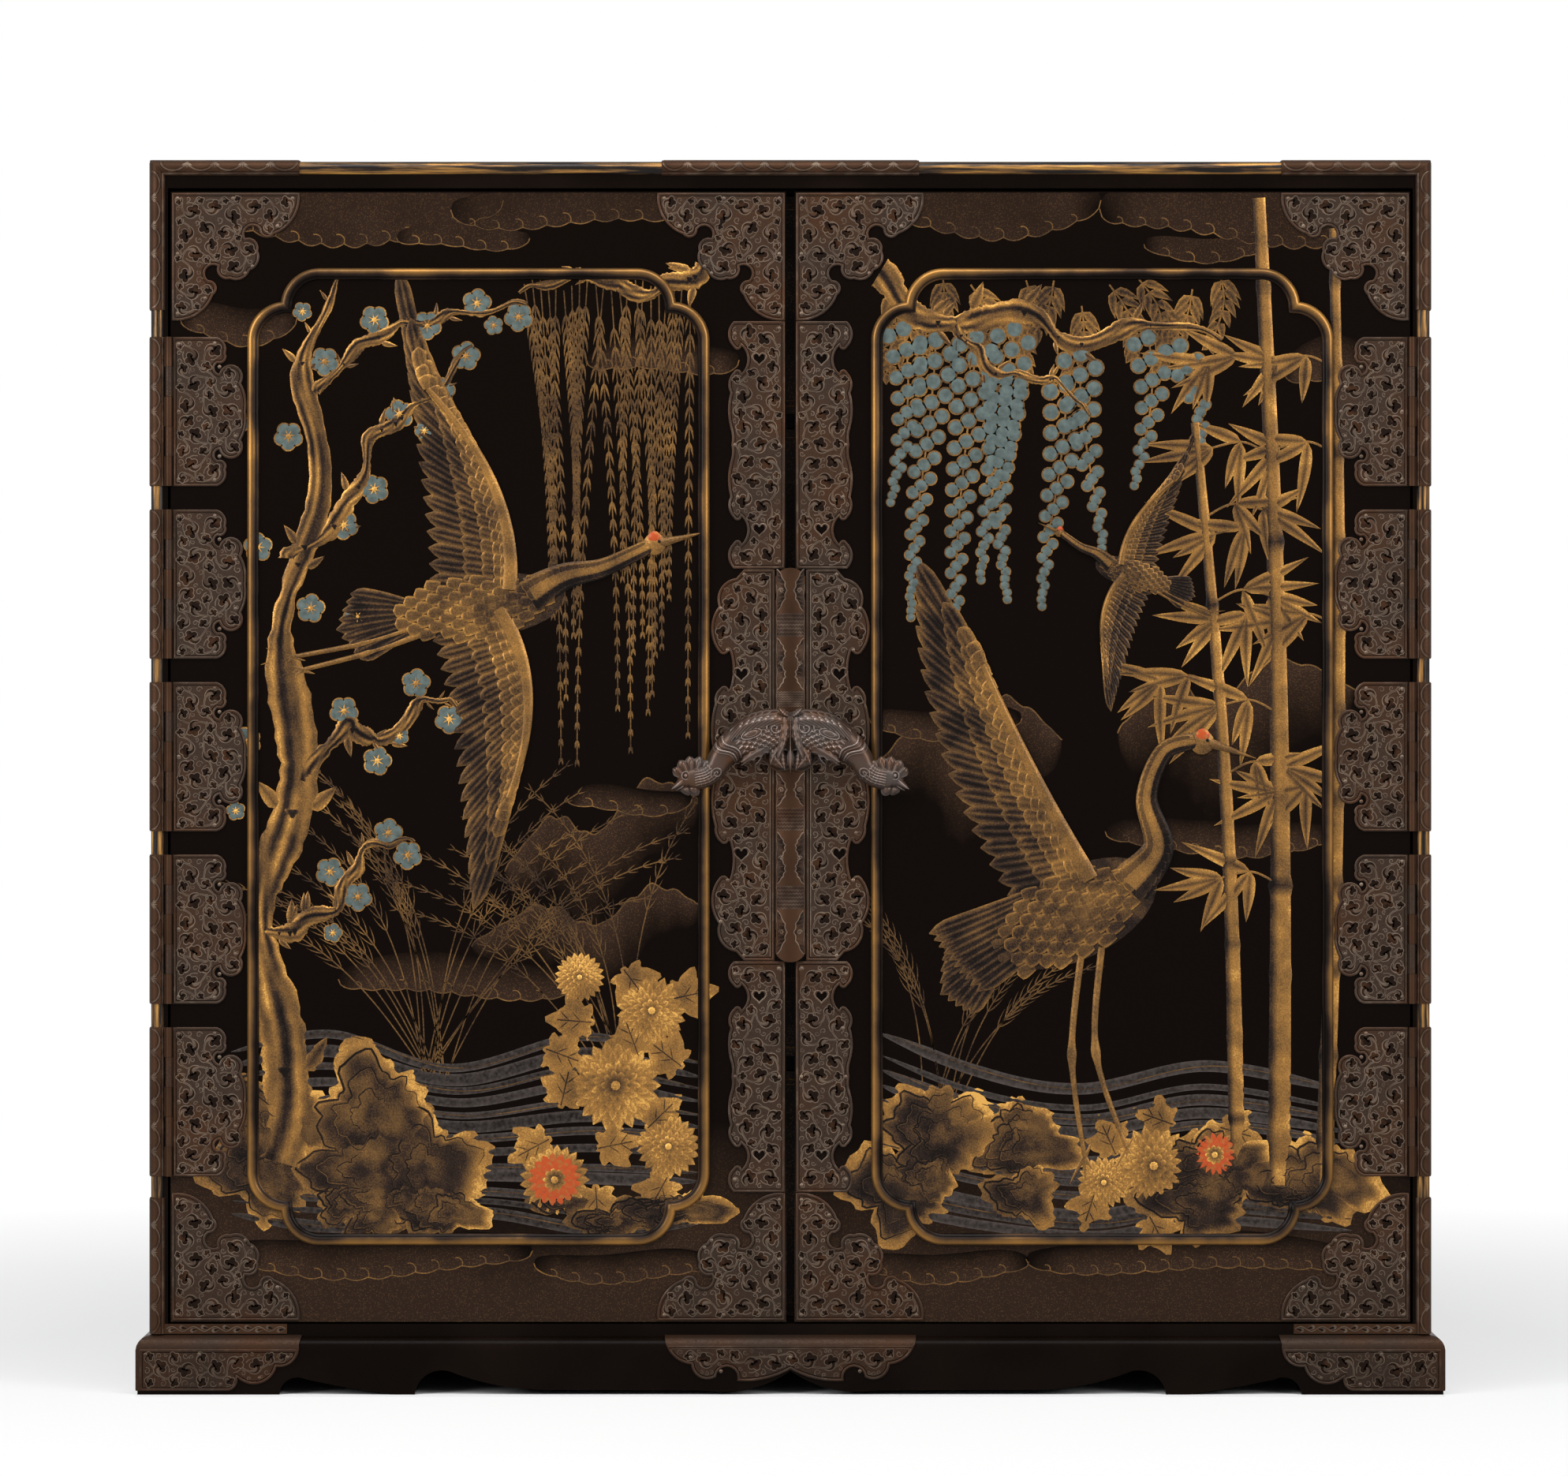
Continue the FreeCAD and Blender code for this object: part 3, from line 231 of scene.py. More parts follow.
def blades(root, angle, length, width, rise, outline, bend=0.0, lift=0.0, rows=9, columns=5):
    """Leaves, petals or feathers: u runs along a blade and v across it. The half width is width/2 times
    outline(u), the tip swings sideways by bend*length, the height is lift + rise*(1 - v*v)*sqrt(outline)."""
    root = np.asarray(root, float).reshape(-1, 2)
    angle, length, width, rise, bend, lift = (
        np.broadcast_to(np.asarray(value, float), len(root))[:, None, None]
        for value in (angle, length, width, rise, bend, lift))
    u = np.linspace(0, 1, rows)[None, :, None]
    v = np.linspace(-1, 1, columns)[None, None, :]
    shape = outline(u)
    along = length * u + 0 * v
    across = 0.5 * width * shape * v + bend * length * u * u
    return np.stack([
        root[:, :1, None] + along * np.cos(angle) - across * np.sin(angle),
        root[:, 1:, None] + along * np.sin(angle) + across * np.cos(angle),
        lift + rise * (1 - v * v) * np.sqrt(shape) + 0 * along], -1)


def mounds(middle, radius, rise, rings=4, power=2.0, lift=0.0):
    """Domes over star-shaped rims: radius gives the rim at equal steps of a turn, and at the share s of
    the radius the height is lift + rise*(1 - s**power)."""
    middle = np.asarray(middle, float).reshape(-1, 2)
    radius = np.broadcast_to(radius, (len(middle), np.shape(radius)[-1]))
    share = np.linspace(1, 0, rings + 1)[None, :, None]
    angle = np.linspace(0, TURN, radius.shape[1])
    reach = share * radius[:, None]
    rise, lift = (
        np.broadcast_to(np.asarray(value, float), len(middle))[:, None, None] for value in (rise, lift))
    return np.stack([
        middle[:, :1, None] + reach * np.cos(angle), middle[:, 1:, None] + reach * np.sin(angle),
        lift + rise * (1 - share ** power) + 0 * reach], -1)


def swell(low, high, value):
    """Smooth step from 0 at low to 1 at high."""
    share = np.clip((value - low) / (high - low), 0, 1)
    return share * share * (3 - 2 * share)


# Materials

def put(tree, kind, feed=(), stops=(), out=0, **fields):
    """Adds a node and gives one of its outputs: fields are its settings, stops a ramp's colours, feed its
    sockets."""
    item = tree.nodes.new("ShaderNode" + kind)
    for name, value in fields.items():
        setattr(item, name, value)
    for number, (place, colour) in enumerate(stops):
        marks = item.color_ramp.elements
        mark = marks[number] if number < 2 else marks.new(place)
        mark.position, mark.color = place, (*colour, 1)
    for socket, value in dict(feed).items():
        entry = item.inputs[socket]
        if isinstance(value, bpy.types.NodeSocket):
            tree.links.new(value, entry)
        else:
            entry.default_value = (*value, 1) if entry.type == "RGBA" else value
    return item.outputs[out] if item.outputs else item


def material(recipe):
    """A material named after its recipe, which gives the sockets of its shader."""
    made = bpy.data.materials.get(recipe.__name__)
    if made is None:
        made = bpy.data.materials.new(recipe.__name__)
        made.use_nodes = True
        made.node_tree.nodes.clear()
        add = functools.partial(put, made.node_tree)
        place = add("TexCoord", out="Object")
        shader = recipe(add, place, bpy.context.scene.cabinet_colours)
        add("OutputMaterial", {"Surface": add("BsdfPrincipled", shader)})
    return made


def times(colour, share):
    """A colour made darker or lighter."""
    return tuple(share * part for part in colour)


def flecks(add, place, millimetres, share):
    """Gold flecks: cells of a Voronoi pattern, of which a share is gold."""
    cells = add("TexVoronoi", {"Vector": place, "Scale": 1000 / millimetres}, out="Color")
    chance = add("SeparateColor", {0: cells})
    picked = add("Math", {0: chance, 1: 1 - share}, operation="GREATER_THAN")
    near = add("Math", {0: cells.node.outputs["Distance"], 1: 0.42}, operation="LESS_THAN")
    return add("Math", {0: picked, 1: near}, operation="MULTIPLY")


def polished_black_lacquer(add, place, hue):
    """Black lacquer, polished: deep, with a brown cast, and fine rubbing marks that soften its gloss."""
    cloud = add("TexNoise", {"Vector": place, "Scale": 1000 / 90, "Detail": 5})
    rubbed = add("TexNoise", {"Vector": place, "Scale": 1000 / 3, "Detail": 3})
    cast = add("MapRange", {0: cloud, 1: 0.45, 2: 0.8})
    return {
        "Base Color": add("MixRGB", {0: cast, 1: hue.black, 2: times(hue.brown, 0.3)}),
        "Roughness": add("MapRange", {0: rubbed, 1: 0.3, 2: 0.7, 3: 0.16, 4: 0.3}),
        "Specular IOR Level": 0.03,
        "Normal": add("Bump", {"Height": cloud, "Distance": 0.00005}),
    }


def shaded_lacquer(add, place, hue):
    """Black lacquer that turns to sprinkled brown near the foot of a door and on its inner face."""
    part = add("SeparateXYZ", {0: place}).node.outputs
    cloud = add("TexNoise", {"Vector": place, "Scale": 1000 / 160, "Detail": 4})
    drift = add("MapRange", {0: cloud, 1: 0.3, 2: 0.7, 3: -0.05, 4: 0.05})
    level = add("Math", {0: part[2], 1: drift}, operation="ADD")
    foot = add("MapRange", {0: level, 1: 0.19, 2: 0.09})
    inner = add("Math", {0: part[1], 1: (FRONT + 17) * 0.001}, operation="GREATER_THAN")
    brown = add("Math", {0: foot, 1: inner}, operation="MAXIMUM")
    thin = add("Math", {0: brown, 1: flecks(add, place, 0.8, 0.3)}, operation="MULTIPLY")
    ground = add("MixRGB", {0: brown, 1: hue.black, 2: times(hue.brown, 0.95)})
    rubbed = add("TexNoise", {"Vector": place, "Scale": 1000 / 3, "Detail": 3})
    return {
        "Base Color": add("MixRGB", {0: add("MapRange", {0: thin, 4: 0.22}), 1: ground, 2: hue.fleck}),
        "Roughness": add("MapRange", {0: rubbed, 1: 0.3, 2: 0.7, 3: 0.17, 4: 0.3}),
        "Specular IOR Level": 0.03,
        "Normal": add("Bump", {"Height": cloud, "Distance": 0.00005}),
    }


def sprinkled_lacquer(add, place, hue):
    """Brown lacquer with gold flecks: a warm grain that glints; the flecks are 1 mm wide, so they show."""
    cloud = add("TexNoise", {"Vector": place, "Scale": 1000 / 30, "Detail": 4})
    dense = add("MapRange", {0: cloud, 1: 0.35, 2: 0.7})
    amount = add("MapRange", {0: dense, 3: 0.15, 4: 0.6})
    strewn = add("Math", {0: flecks(add, place, 1.0, 0.36), 1: amount}, operation="MULTIPLY")
    ground = add("MixRGB", {0: dense, 1: times(hue.brown, 0.75), 2: times(hue.brown, 1.3)})
    return {
        "Base Color": add("MixRGB", {0: strewn, 1: ground, 2: hue.fleck}),
        "Metallic": add("MapRange", {0: strewn, 4: 0.6}),
        "Roughness": add("MapRange", {0: dense, 3: 0.36, 4: 0.26}),
        "Specular IOR Level": 0.1,
    }


def drifting_mist(add, place, hue):
    """Brown lacquer strewn with gold flecks, thinner as its tone falls, until the black shows."""
    tone = add("Attribute", out="Fac", attribute_name="tone")
    cloud = add("TexNoise", {"Vector": place, "Scale": 1000 / 40, "Detail": 4})
    thin = add("MapRange", {0: cloud, 1: 0.3, 2: 0.7, 3: -0.15, 4: 0.15})
    level = add("Math", {0: tone, 1: thin}, use_clamp=True)
    strewn = add("Math", {0: flecks(add, place, 0.8, 0.36), 1: level}, operation="MULTIPLY")
    ground = add("MixRGB", {0: level, 1: hue.black, 2: times(hue.brown, 1.2)})
    return {
        "Base Color": add("MixRGB", {0: add("MapRange", {0: strewn, 4: 0.3}), 1: ground, 2: hue.fleck}),
        "Roughness": add("MapRange", {0: level, 3: 0.24, 4: 0.34}),
        "Specular IOR Level": 0.03,
    }


def strewn_gold(add, place, hue):
    """Gold powder strewn on raised lacquer: the tone runs from bare lacquer to full gold, grainy and soft."""
    tone = add("Attribute", out="Fac", attribute_name="tone")
    grain = add("TexNoise", {"Vector": place, "Scale": 1000 / 1.1, "Detail": 2})
    cloud = add("TexNoise", {"Vector": place, "Scale": 1000 / 22, "Detail": 4})
    fine = add("MapRange", {0: grain, 1: 0.3, 2: 0.7, 3: -0.11, 4: 0.11})
    broad = add("MapRange", {0: cloud, 1: 0.3, 2: 0.7, 3: -0.16, 4: 0.16})
    level = add("Math", {0: add("Math", {0: tone, 1: fine}), 1: broad})
    colour = add("ValToRGB", {0: level}, [
        (0.08, hue.black), (1.0, hue.bright), (0.28, hue.brown), (0.55, hue.dull), (0.82, hue.gold)])
    return {
        "Base Color": colour,
        "Metallic": add("MapRange", {0: level, 1: 0.2, 2: 0.8, 4: 0.55}),
        "Roughness": add("MapRange", {0: level, 1: 0.2, 2: 1.0, 3: 0.34, 4: 0.4}),
        "Specular IOR Level": 0.1,
        "Normal": add("Bump", {"Height": grain, "Distance": 0.00008}),
    }


def strewn_silver(add, place, hue):
    """Silver powder, tarnished: dark grey washes and paler lines, as the tone rises."""
    tone = add("Attribute", out="Fac", attribute_name="tone")
    grain = add("TexNoise", {"Vector": place, "Scale": 1000 / 2.5, "Detail": 4})
    fine = add("MapRange", {0: grain, 1: 0.3, 2: 0.7, 3: -0.14, 4: 0.14})
    level = add("Math", {0: tone, 1: fine})
    return {
        "Base Color": add("ValToRGB", {0: level}, [
            (0.05, hue.black), (1.0, hue.line), (0.35, times(hue.tarnish, 0.6)), (0.6, hue.tarnish)]),
        "Metallic": 0.3,
        "Roughness": add("MapRange", {0: level, 3: 0.4, 4: 0.3}),
        "Specular IOR Level": 0.1,
    }


def worn_gilding(add, place, hue):
    """Gold leaf on a black moulding, rubbed through along its length to brown and black."""
    tone = add("Attribute", out="Fac", attribute_name="tone")
    streak = add("TexNoise", {"Vector": place, "Scale": 1000 / 55, "Detail": 6})
    rubbed = add("MapRange", {0: streak, 1: 0.3, 2: 0.7, 3: -0.24, 4: 0.24})
    worn = add("Math", {0: tone, 1: rubbed})
    return {
        "Base Color": add("ValToRGB", {0: worn}, [
            (0.15, hue.black), (1.05, hue.bright), (0.34, hue.brown), (0.52, hue.dull), (0.82, hue.gold)]),
        "Metallic": add("MapRange", {0: worn, 1: 0.35, 2: 0.6, 4: 0.6}),
        "Roughness": add("MapRange", {0: worn, 1: 0.2, 2: 1.0, 3: 0.24, 4: 0.34}),
        "Specular IOR Level": 0.06,
        "Normal": add("Bump", {"Height": streak, "Distance": 0.00015}),
    }


def worn_bead(add, place, hue):
    """Gold leaf on the edge of the case, rubbed away in streaks along it, twenty times as long as wide."""
    part = add("SeparateXYZ", {0: place}).node.outputs
    upper = add("Math", {0: part[2], 1: (CASE_TOP - 12) * 0.001}, operation="GREATER_THAN")
    upright = add("Mapping", {"Vector": place, "Scale": (1, 1, 0.05)})
    level = add("Mapping", {"Vector": place, "Scale": (0.05, 1, 1)})
    drawn = add("MixRGB", {0: upper, 1: upright, 2: level})
    streak = add("TexNoise", {"Vector": drawn, "Scale": 1000 / 3.5, "Detail": 4, "Roughness": 0.6})
    return {
        "Base Color": add("ValToRGB", {0: streak}, [
            (0.36, hue.black), (0.75, hue.bright), (0.45, hue.recess), (0.52, hue.dull), (0.6, hue.gold)]),
        "Metallic": add("MapRange", {0: streak, 1: 0.45, 2: 0.6, 4: 0.6}),
        "Roughness": add("MapRange", {0: streak, 1: 0.3, 2: 0.7, 3: 0.24, 4: 0.36}),
        "Specular IOR Level": 0.2,
        "Normal": add("Bump", {"Height": streak, "Distance": 0.00015}),
    }


def painted_floor_shade(add, place):
    """Share of painted shade on the mounts, where less light falls near the floor: darkest at the floor,
    none from 110 mm up.
    """
    part = add("SeparateXYZ", {0: place}).node.outputs
    return add("MapRange", {0: part[2], 1: 0.02, 2: 0.11, 3: 0.36, 4: 0.0})


def patinated_copper(add, place, hue):
    """Sheet copper with a brown-grey patina: satin, with russet patches, and a fine stippled ground."""
    cloud = add("TexNoise", {"Vector": place, "Scale": 1000 / 45, "Detail": 4})
    stipple = add("TexNoise", {"Vector": place, "Scale": 1000 / 1.2, "Detail": 2})
    patch = add("MapRange", {0: cloud, 1: 0.42, 2: 0.7, 4: 0.8})
    ground = add("MixRGB", {0: patch, 1: hue.copper, 2: hue.russet})
    pits = add("MapRange", {0: stipple, 1: 0.35, 2: 0.7, 4: 0.4})
    pitted = add("MixRGB", {0: pits, 1: ground, 2: hue.recess})
    return {
        # Painted shade: the mounts turn darker towards the floor.
        "Base Color": add("MixRGB", {0: painted_floor_shade(add, place), 1: pitted, 2: hue.recess}),
        "Metallic": 0.5,
        "Roughness": add("MapRange", {0: stipple, 1: 0.3, 2: 0.7, 3: 0.36, 4: 0.5}),
        "Normal": add("Bump", {"Height": stipple, "Distance": 0.00012}),
        "Specular IOR Level": 0.1,
    }


def rubbed_copper(add, place, hue):
    """Copper over the edges of the case, rubbed by hands: redder and smoother than the plates."""
    cloud = add("TexNoise", {"Vector": place, "Scale": 1000 / 30, "Detail": 5})
    share = add("MapRange", {0: cloud, 1: 0.35, 2: 0.7})
    return {
        "Base Color": add("MixRGB", {0: share, 1: times(hue.rubbed, 0.5), 2: times(hue.rubbed, 0.8)}),
        "Metallic": 0.6,
        "Roughness": add("MapRange", {0: share, 3: 0.5, 4: 0.4}),
        "Normal": add("Bump", {"Height": cloud, "Distance": 0.0003}),
        "Specular IOR Level": 0.1,
    }


def graven_copper(add, place, hue):
    """Work of the graver in the same copper: dark sunk leaves at tone 0, bright cuts at tone 1."""
    tone = add("Attribute", out="Fac", attribute_name="tone")
    cloud = add("TexNoise", {"Vector": place, "Scale": 1000 / 45, "Detail": 4})
    spots = add("TexNoise", {"Vector": place, "Scale": 1000 / 9, "Detail": 3})
    patch = add("MapRange", {0: cloud, 1: 0.42, 2: 0.7, 4: 0.8})
    level = add("Math", {0: tone, 1: add("MapRange", {0: spots, 1: 0.3, 2: 0.7, 3: -0.12, 4: 0.12})})
    ground = add("MixRGB", {0: patch, 1: hue.copper, 2: hue.russet})
    rust = add("MapRange", {0: spots, 1: 0.5, 2: 0.66})
    dark = add("MixRGB", {0: rust, 1: hue.recess, 2: times(hue.russet, 0.7)})
    low = add("MixRGB", {0: add("MapRange", {0: level, 1: 0.08, 2: 0.5}), 1: dark, 2: ground})
    cut = add("MixRGB", {0: add("MapRange", {0: level, 1: 0.55, 2: 1.0}), 1: low, 2: hue.line})
    return {
        # Painted shade: the engraved work turns darker towards the floor.
        "Base Color": add("MixRGB", {0: painted_floor_shade(add, place), 1: cut, 2: hue.recess}),
        "Metallic": 0.5,
        "Roughness": add("MapRange", {0: level, 3: 0.5, 4: 0.34}),
        "Specular IOR Level": 0.1,
    }


def chased_copper(add, place, hue):
    """Cast and chased copper, long handled: brown-grey in the hollows; pale and smooth where the tone is
    high, which is partly rubbed metal and partly a painted highlight.
    """
    tone = add("Attribute", out="Fac", attribute_name="tone")
    cloud = add("TexNoise", {"Vector": place, "Scale": 1000 / 18, "Detail": 4})
    patch = add("MapRange", {0: cloud, 1: 0.35, 2: 0.7})
    ground = add("MixRGB", {0: patch, 1: times(hue.tarnish, 1.05), 2: times(hue.rubbed, 1.4)})
    dark = add("MixRGB", {0: add("MapRange", {0: tone, 2: 0.4}), 1: hue.recess, 2: ground})
    # From tone 0.5 up the colour turns pale: painted highlight on the latch's raised edges, and rubbed metal.
    rubbed = add("MapRange", {0: tone, 1: 0.5, 2: 0.95, 4: 0.85})
    return {
        "Base Color": add("MixRGB", {0: rubbed, 1: dark, 2: times(hue.tarnish, 3.4)}),
        "Metallic": 0.6,
        "Roughness": add("MapRange", {0: tone, 3: 0.42, 4: 0.26}),
        "Normal": add("Bump", {"Height": cloud, "Distance": 0.0002}),
        "Specular IOR Level": 0.1,
    }


def gilded_brass(add, place, hue):
    """Gilt brass knobs: warm, turned, a little tarnished in patches."""
    cloud = add("TexNoise", {"Vector": place, "Scale": 1000 / 6, "Detail": 4})
    tarnish = add("MapRange", {0: cloud, 1: 0.35, 2: 0.7})
    return {
        "Base Color": add("MixRGB", {0: tarnish, 1: hue.gold, 2: hue.dull}),
        "Metallic": 0.95,
        "Roughness": add("MapRange", {0: tarnish, 3: 0.24, 4: 0.42}),
    }


def forged_iron(add, place, hue):
    """Lock parts of forged iron: dark grey, scaled, with brown bloom."""
    scale = add("TexNoise", {"Vector": place, "Scale": 1000 / 5, "Detail": 4})
    bloom = add("MapRange", {0: scale, 1: 0.4, 2: 0.7})
    return {
        "Base Color": add("MixRGB", {0: bloom, 1: times(hue.tarnish, 0.6), 2: hue.copper}),
        "Metallic": 0.8,
        "Roughness": add("MapRange", {0: scale, 1: 0.3, 2: 0.7, 3: 0.4, 4: 0.6}),
        "Normal": add("Bump", {"Height": scale, "Distance": 0.0002}),
    }


def shell_inlay(add, place, hue):
    """Blue-grey inlay: cloudy, with a soft gloss."""
    cloud = add("TexNoise", {"Vector": place, "Scale": 1000 / 5, "Detail": 4})
    share = add("MapRange", {0: cloud, 1: 0.3, 2: 0.7})
    return {
        "Base Color": add("MixRGB", {0: share, 1: times(hue.shell, 0.55), 2: times(hue.shell, 1.15)}),
        "Roughness": add("MapRange", {0: share, 3: 0.4, 4: 0.3}),
        "Specular IOR Level": 0.2,
        "Normal": add("Bump", {"Height": cloud, "Distance": 0.0001}),
    }


def red_lacquer(add, place, hue):
    """Orange-red lacquer over gold, rubbed in places so that gold shows."""
    cloud = add("TexNoise", {"Vector": place, "Scale": 1000 / 3.5, "Detail": 4})
    rubbed = add("MapRange", {0: cloud, 1: 0.5, 2: 0.72})
    return {
        "Base Color": add("MixRGB", {0: rubbed, 1: hue.red, 2: hue.gold}),
        "Metallic": add("MapRange", {0: rubbed, 4: 0.6}),
        "Roughness": add("MapRange", {0: rubbed, 3: 0.3, 4: 0.4}),
        "Specular IOR Level": 0.2,
    }


def studio_paper(add, place, hue):
    """Pale paper of the floor, with a faint fibre; it keeps a soft shadow."""
    fibre = add("TexNoise", {"Vector": place, "Scale": 1000 / 4, "Detail": 3})
    return {"Base Color": add("MixRGB", {0: fibre, 1: linear("#e4e4e4"), 2: linear("#ececec")}),
            "Roughness": 0.9, "Specular IOR Level": 0.1}


# Outlines of the sheet metal, as shares of a plate's width and height: corners, or two points for an arc

CORNER = [
    (0, 0), (1, 0), ((.955, .20), (.80, .325)), ((.72, .345), (.685, .285)), ((.59, .275), (.575, .355)),
    ((.655, .375), (.675, .455)), ((.675, .55), (.61, .61))]
LEAF = [
    (0, 0), (.60, 0), ((.70, .035), (.72, .11)), ((.69, .17), (.61, .175)), ((.57, .215), (.63, .245)),
    ((.82, .185), (.93, .31)), ((.99, .38), (1, .5))]
LOCK = [
    (0, 0), (.48, 0), (.60, .022), ((.81, .04), (.875, .095)), ((.995, .15), (.86, .213)),
    ((.78, .217), (.73, .196)), ((.655, .262), (.73, .318)), ((.78, .298), (.85, .303)),
    ((.91, .315), (.935, .343)), ((.995, .40), (.95, .47)), (.935, .5)]
STILE = [
    (0, 0), (.90, 0), ((1, .05), (.90, .105)), ((.82, .115), (.76, .10)), ((.66, .155), (.76, .21)),
    ((.82, .195), (.90, .205)), ((.98, .235), (.96, .29)), ((1, .36), (.96, .43)), ((.93, .465), (.94, .5))]
PLINTH_CORNER = [
    (.012, .80), (.012, .07), (.54, .07), ((.60, .15), (.61, .305)), ((.745, .195), (.85, .49)),
    ((.95, .585), (.98, .80)), (.012, .80)]
PLINTH_CENTRE = [
    (.985, .86), ((.967, .78), (.79, .535)), ((.757, .365), (.59, .317)), ((.49, .49), (.425, .245)),
    ((.22, .27), (0, .45))]

# Sizes of the sheet metal in millimetres
SEAM = 0.6
CORNER_WIDE = 92.0
LEAF_WIDE, LEAF_TALL = 52.7, 107.5
LOCK_WIDE, LOCK_TALL = 46.1, 282.0
STILE_WIDE = 41.0
STILE_TALL = {"upper": 773.0 - 594.65, "lower": 311.45 - 145.1}
PLINTH_ARM, PLINTH_HALF, PLINTH_TALL = 118.0, 90.5, 41.0
BAR_CROWN, BAR_RISE = 6.0, 4.0
EDGE_HALF, EDGE_RISE = 5.525, 3.75


def traced(half, wide=1.0, tall=1.0, steps=9):
    """Points along half an outline in millimetres: straight runs, and arcs through a point on the way."""
    def spot(point):
        """A point as a complex number of millimetres."""
        return complex(point[0] * wide, point[1] * tall)

    points = [spot(half[0])]
    for step in half[1:]:
        begin = points[-1]
        share = np.arange(1, steps + 1) / steps
        if isinstance(step[0], tuple):
            via, end = spot(step[0]), spot(step[1])
            ratio = (end - begin) / (via - begin)
            centre = begin - (begin - via) * (ratio - abs(ratio) ** 2) / 2j / ratio.imag
            whole = np.angle((end - centre) / (begin - centre)) % TURN
            part = np.angle((via - centre) / (begin - centre)) % TURN
            whole -= TURN if part > whole else 0
            points += list(centre + (begin - centre) * np.exp(1j * whole * share))
        else:
            points += list(begin + (spot(step) - begin) * share)
    return np.array([[point.real, point.imag] for point in points])


def plate(half, wide, tall):
    """Closed outline of a plate: half of it and its mirror image, upside down or, at a corner, diagonal."""
    first = traced(half, wide, tall)
    other = first[:, ::-1] if half is CORNER else first * (1, -1) + (0, tall)
    return trimmed(np.concatenate([first, other[::-1]]))


def trimmed(outline):
    """An outline without points that repeat their neighbour."""
    step = np.linalg.norm(outline - np.roll(outline, 1, 0), axis=1)
    return outline[step > 1e-6]


def packed(outline, margin, largest, smallest, holes=()):
    """Circles that fill an outline: again and again the largest that still fits, as (across, up, radius)."""
    low, high = outline.min(0), outline.max(0)
    grid = np.meshgrid(*(np.arange(low[axis], high[axis], 0.9) for axis in (0, 1)), indexing="ij")
    spots = np.stack(grid, -1).reshape(-1, 2)
    begin, run = outline, np.roll(outline, -1, 0) - outline
    above = begin[:, 1] > spots[:, 1:]
    crossing = above != (np.roll(begin, -1, 0)[:, 1] > spots[:, 1:])
    slope = run[:, 0] / np.where(run[:, 1] == 0, 1e-9, run[:, 1])
    left = spots[:, :1] < begin[:, 0] + slope * (spots[:, 1:] - begin[:, 1])
    spots = spots[(crossing & left).sum(1) % 2 == 1]
    share = np.clip(((spots[:, None] - begin) * run).sum(-1) / ((run * run).sum(-1) + 1e-12), 0, 1)
    room = np.linalg.norm(spots[:, None] - begin - share[..., None] * run, axis=-1).min(1) - margin
    for across, up, radius in holes:
        room = np.minimum(room, np.hypot(spots[:, 0] - across, spots[:, 1] - up) - radius)
    found = []
    while room.max() > smallest:
        best = room.argmax()
        radius = min(room[best], largest)
        found.append((*spots[best], radius))
        room = np.minimum(room, np.linalg.norm(spots - spots[best], axis=-1) - radius)
    return np.array(found)


def grown(spots):
    """Shortest tree through spots, grown from the lowest one: the parent of each."""
    parent, gap = np.zeros(len(spots), int), np.full(len(spots), np.inf)
    left = np.ones(len(spots), bool)
    first = spots[:, 1].argmin()
    parent[first], gap[first] = first, 0
    while left.any():
        new = np.where(left, gap, np.inf).argmin()
        left[new] = False
        away = np.linalg.norm(spots - spots[new], axis=1)
        closer = left & (away < gap)
        gap[closer], parent[closer] = away[closer], new
    return parent


def trefoil(facing, size):
    """Rim of a trefoil seen from its middle: the furthest of three round lobes in each direction."""
    angle = np.linspace(0, TURN, 28)
    off = angle - facing[:, None, None] - np.array([-1.45, 0.0, 1.45])[:, None]
    reach, lobe = 0.62, 0.44
    root = lobe ** 2 - (reach * np.sin(off)) ** 2
    edge = np.where((root > 0) & (np.cos(off) > 0), reach * np.cos(off) + np.sqrt(np.clip(root, 0, 1)), 0.3)
    return size[:, None] * edge.max(1)


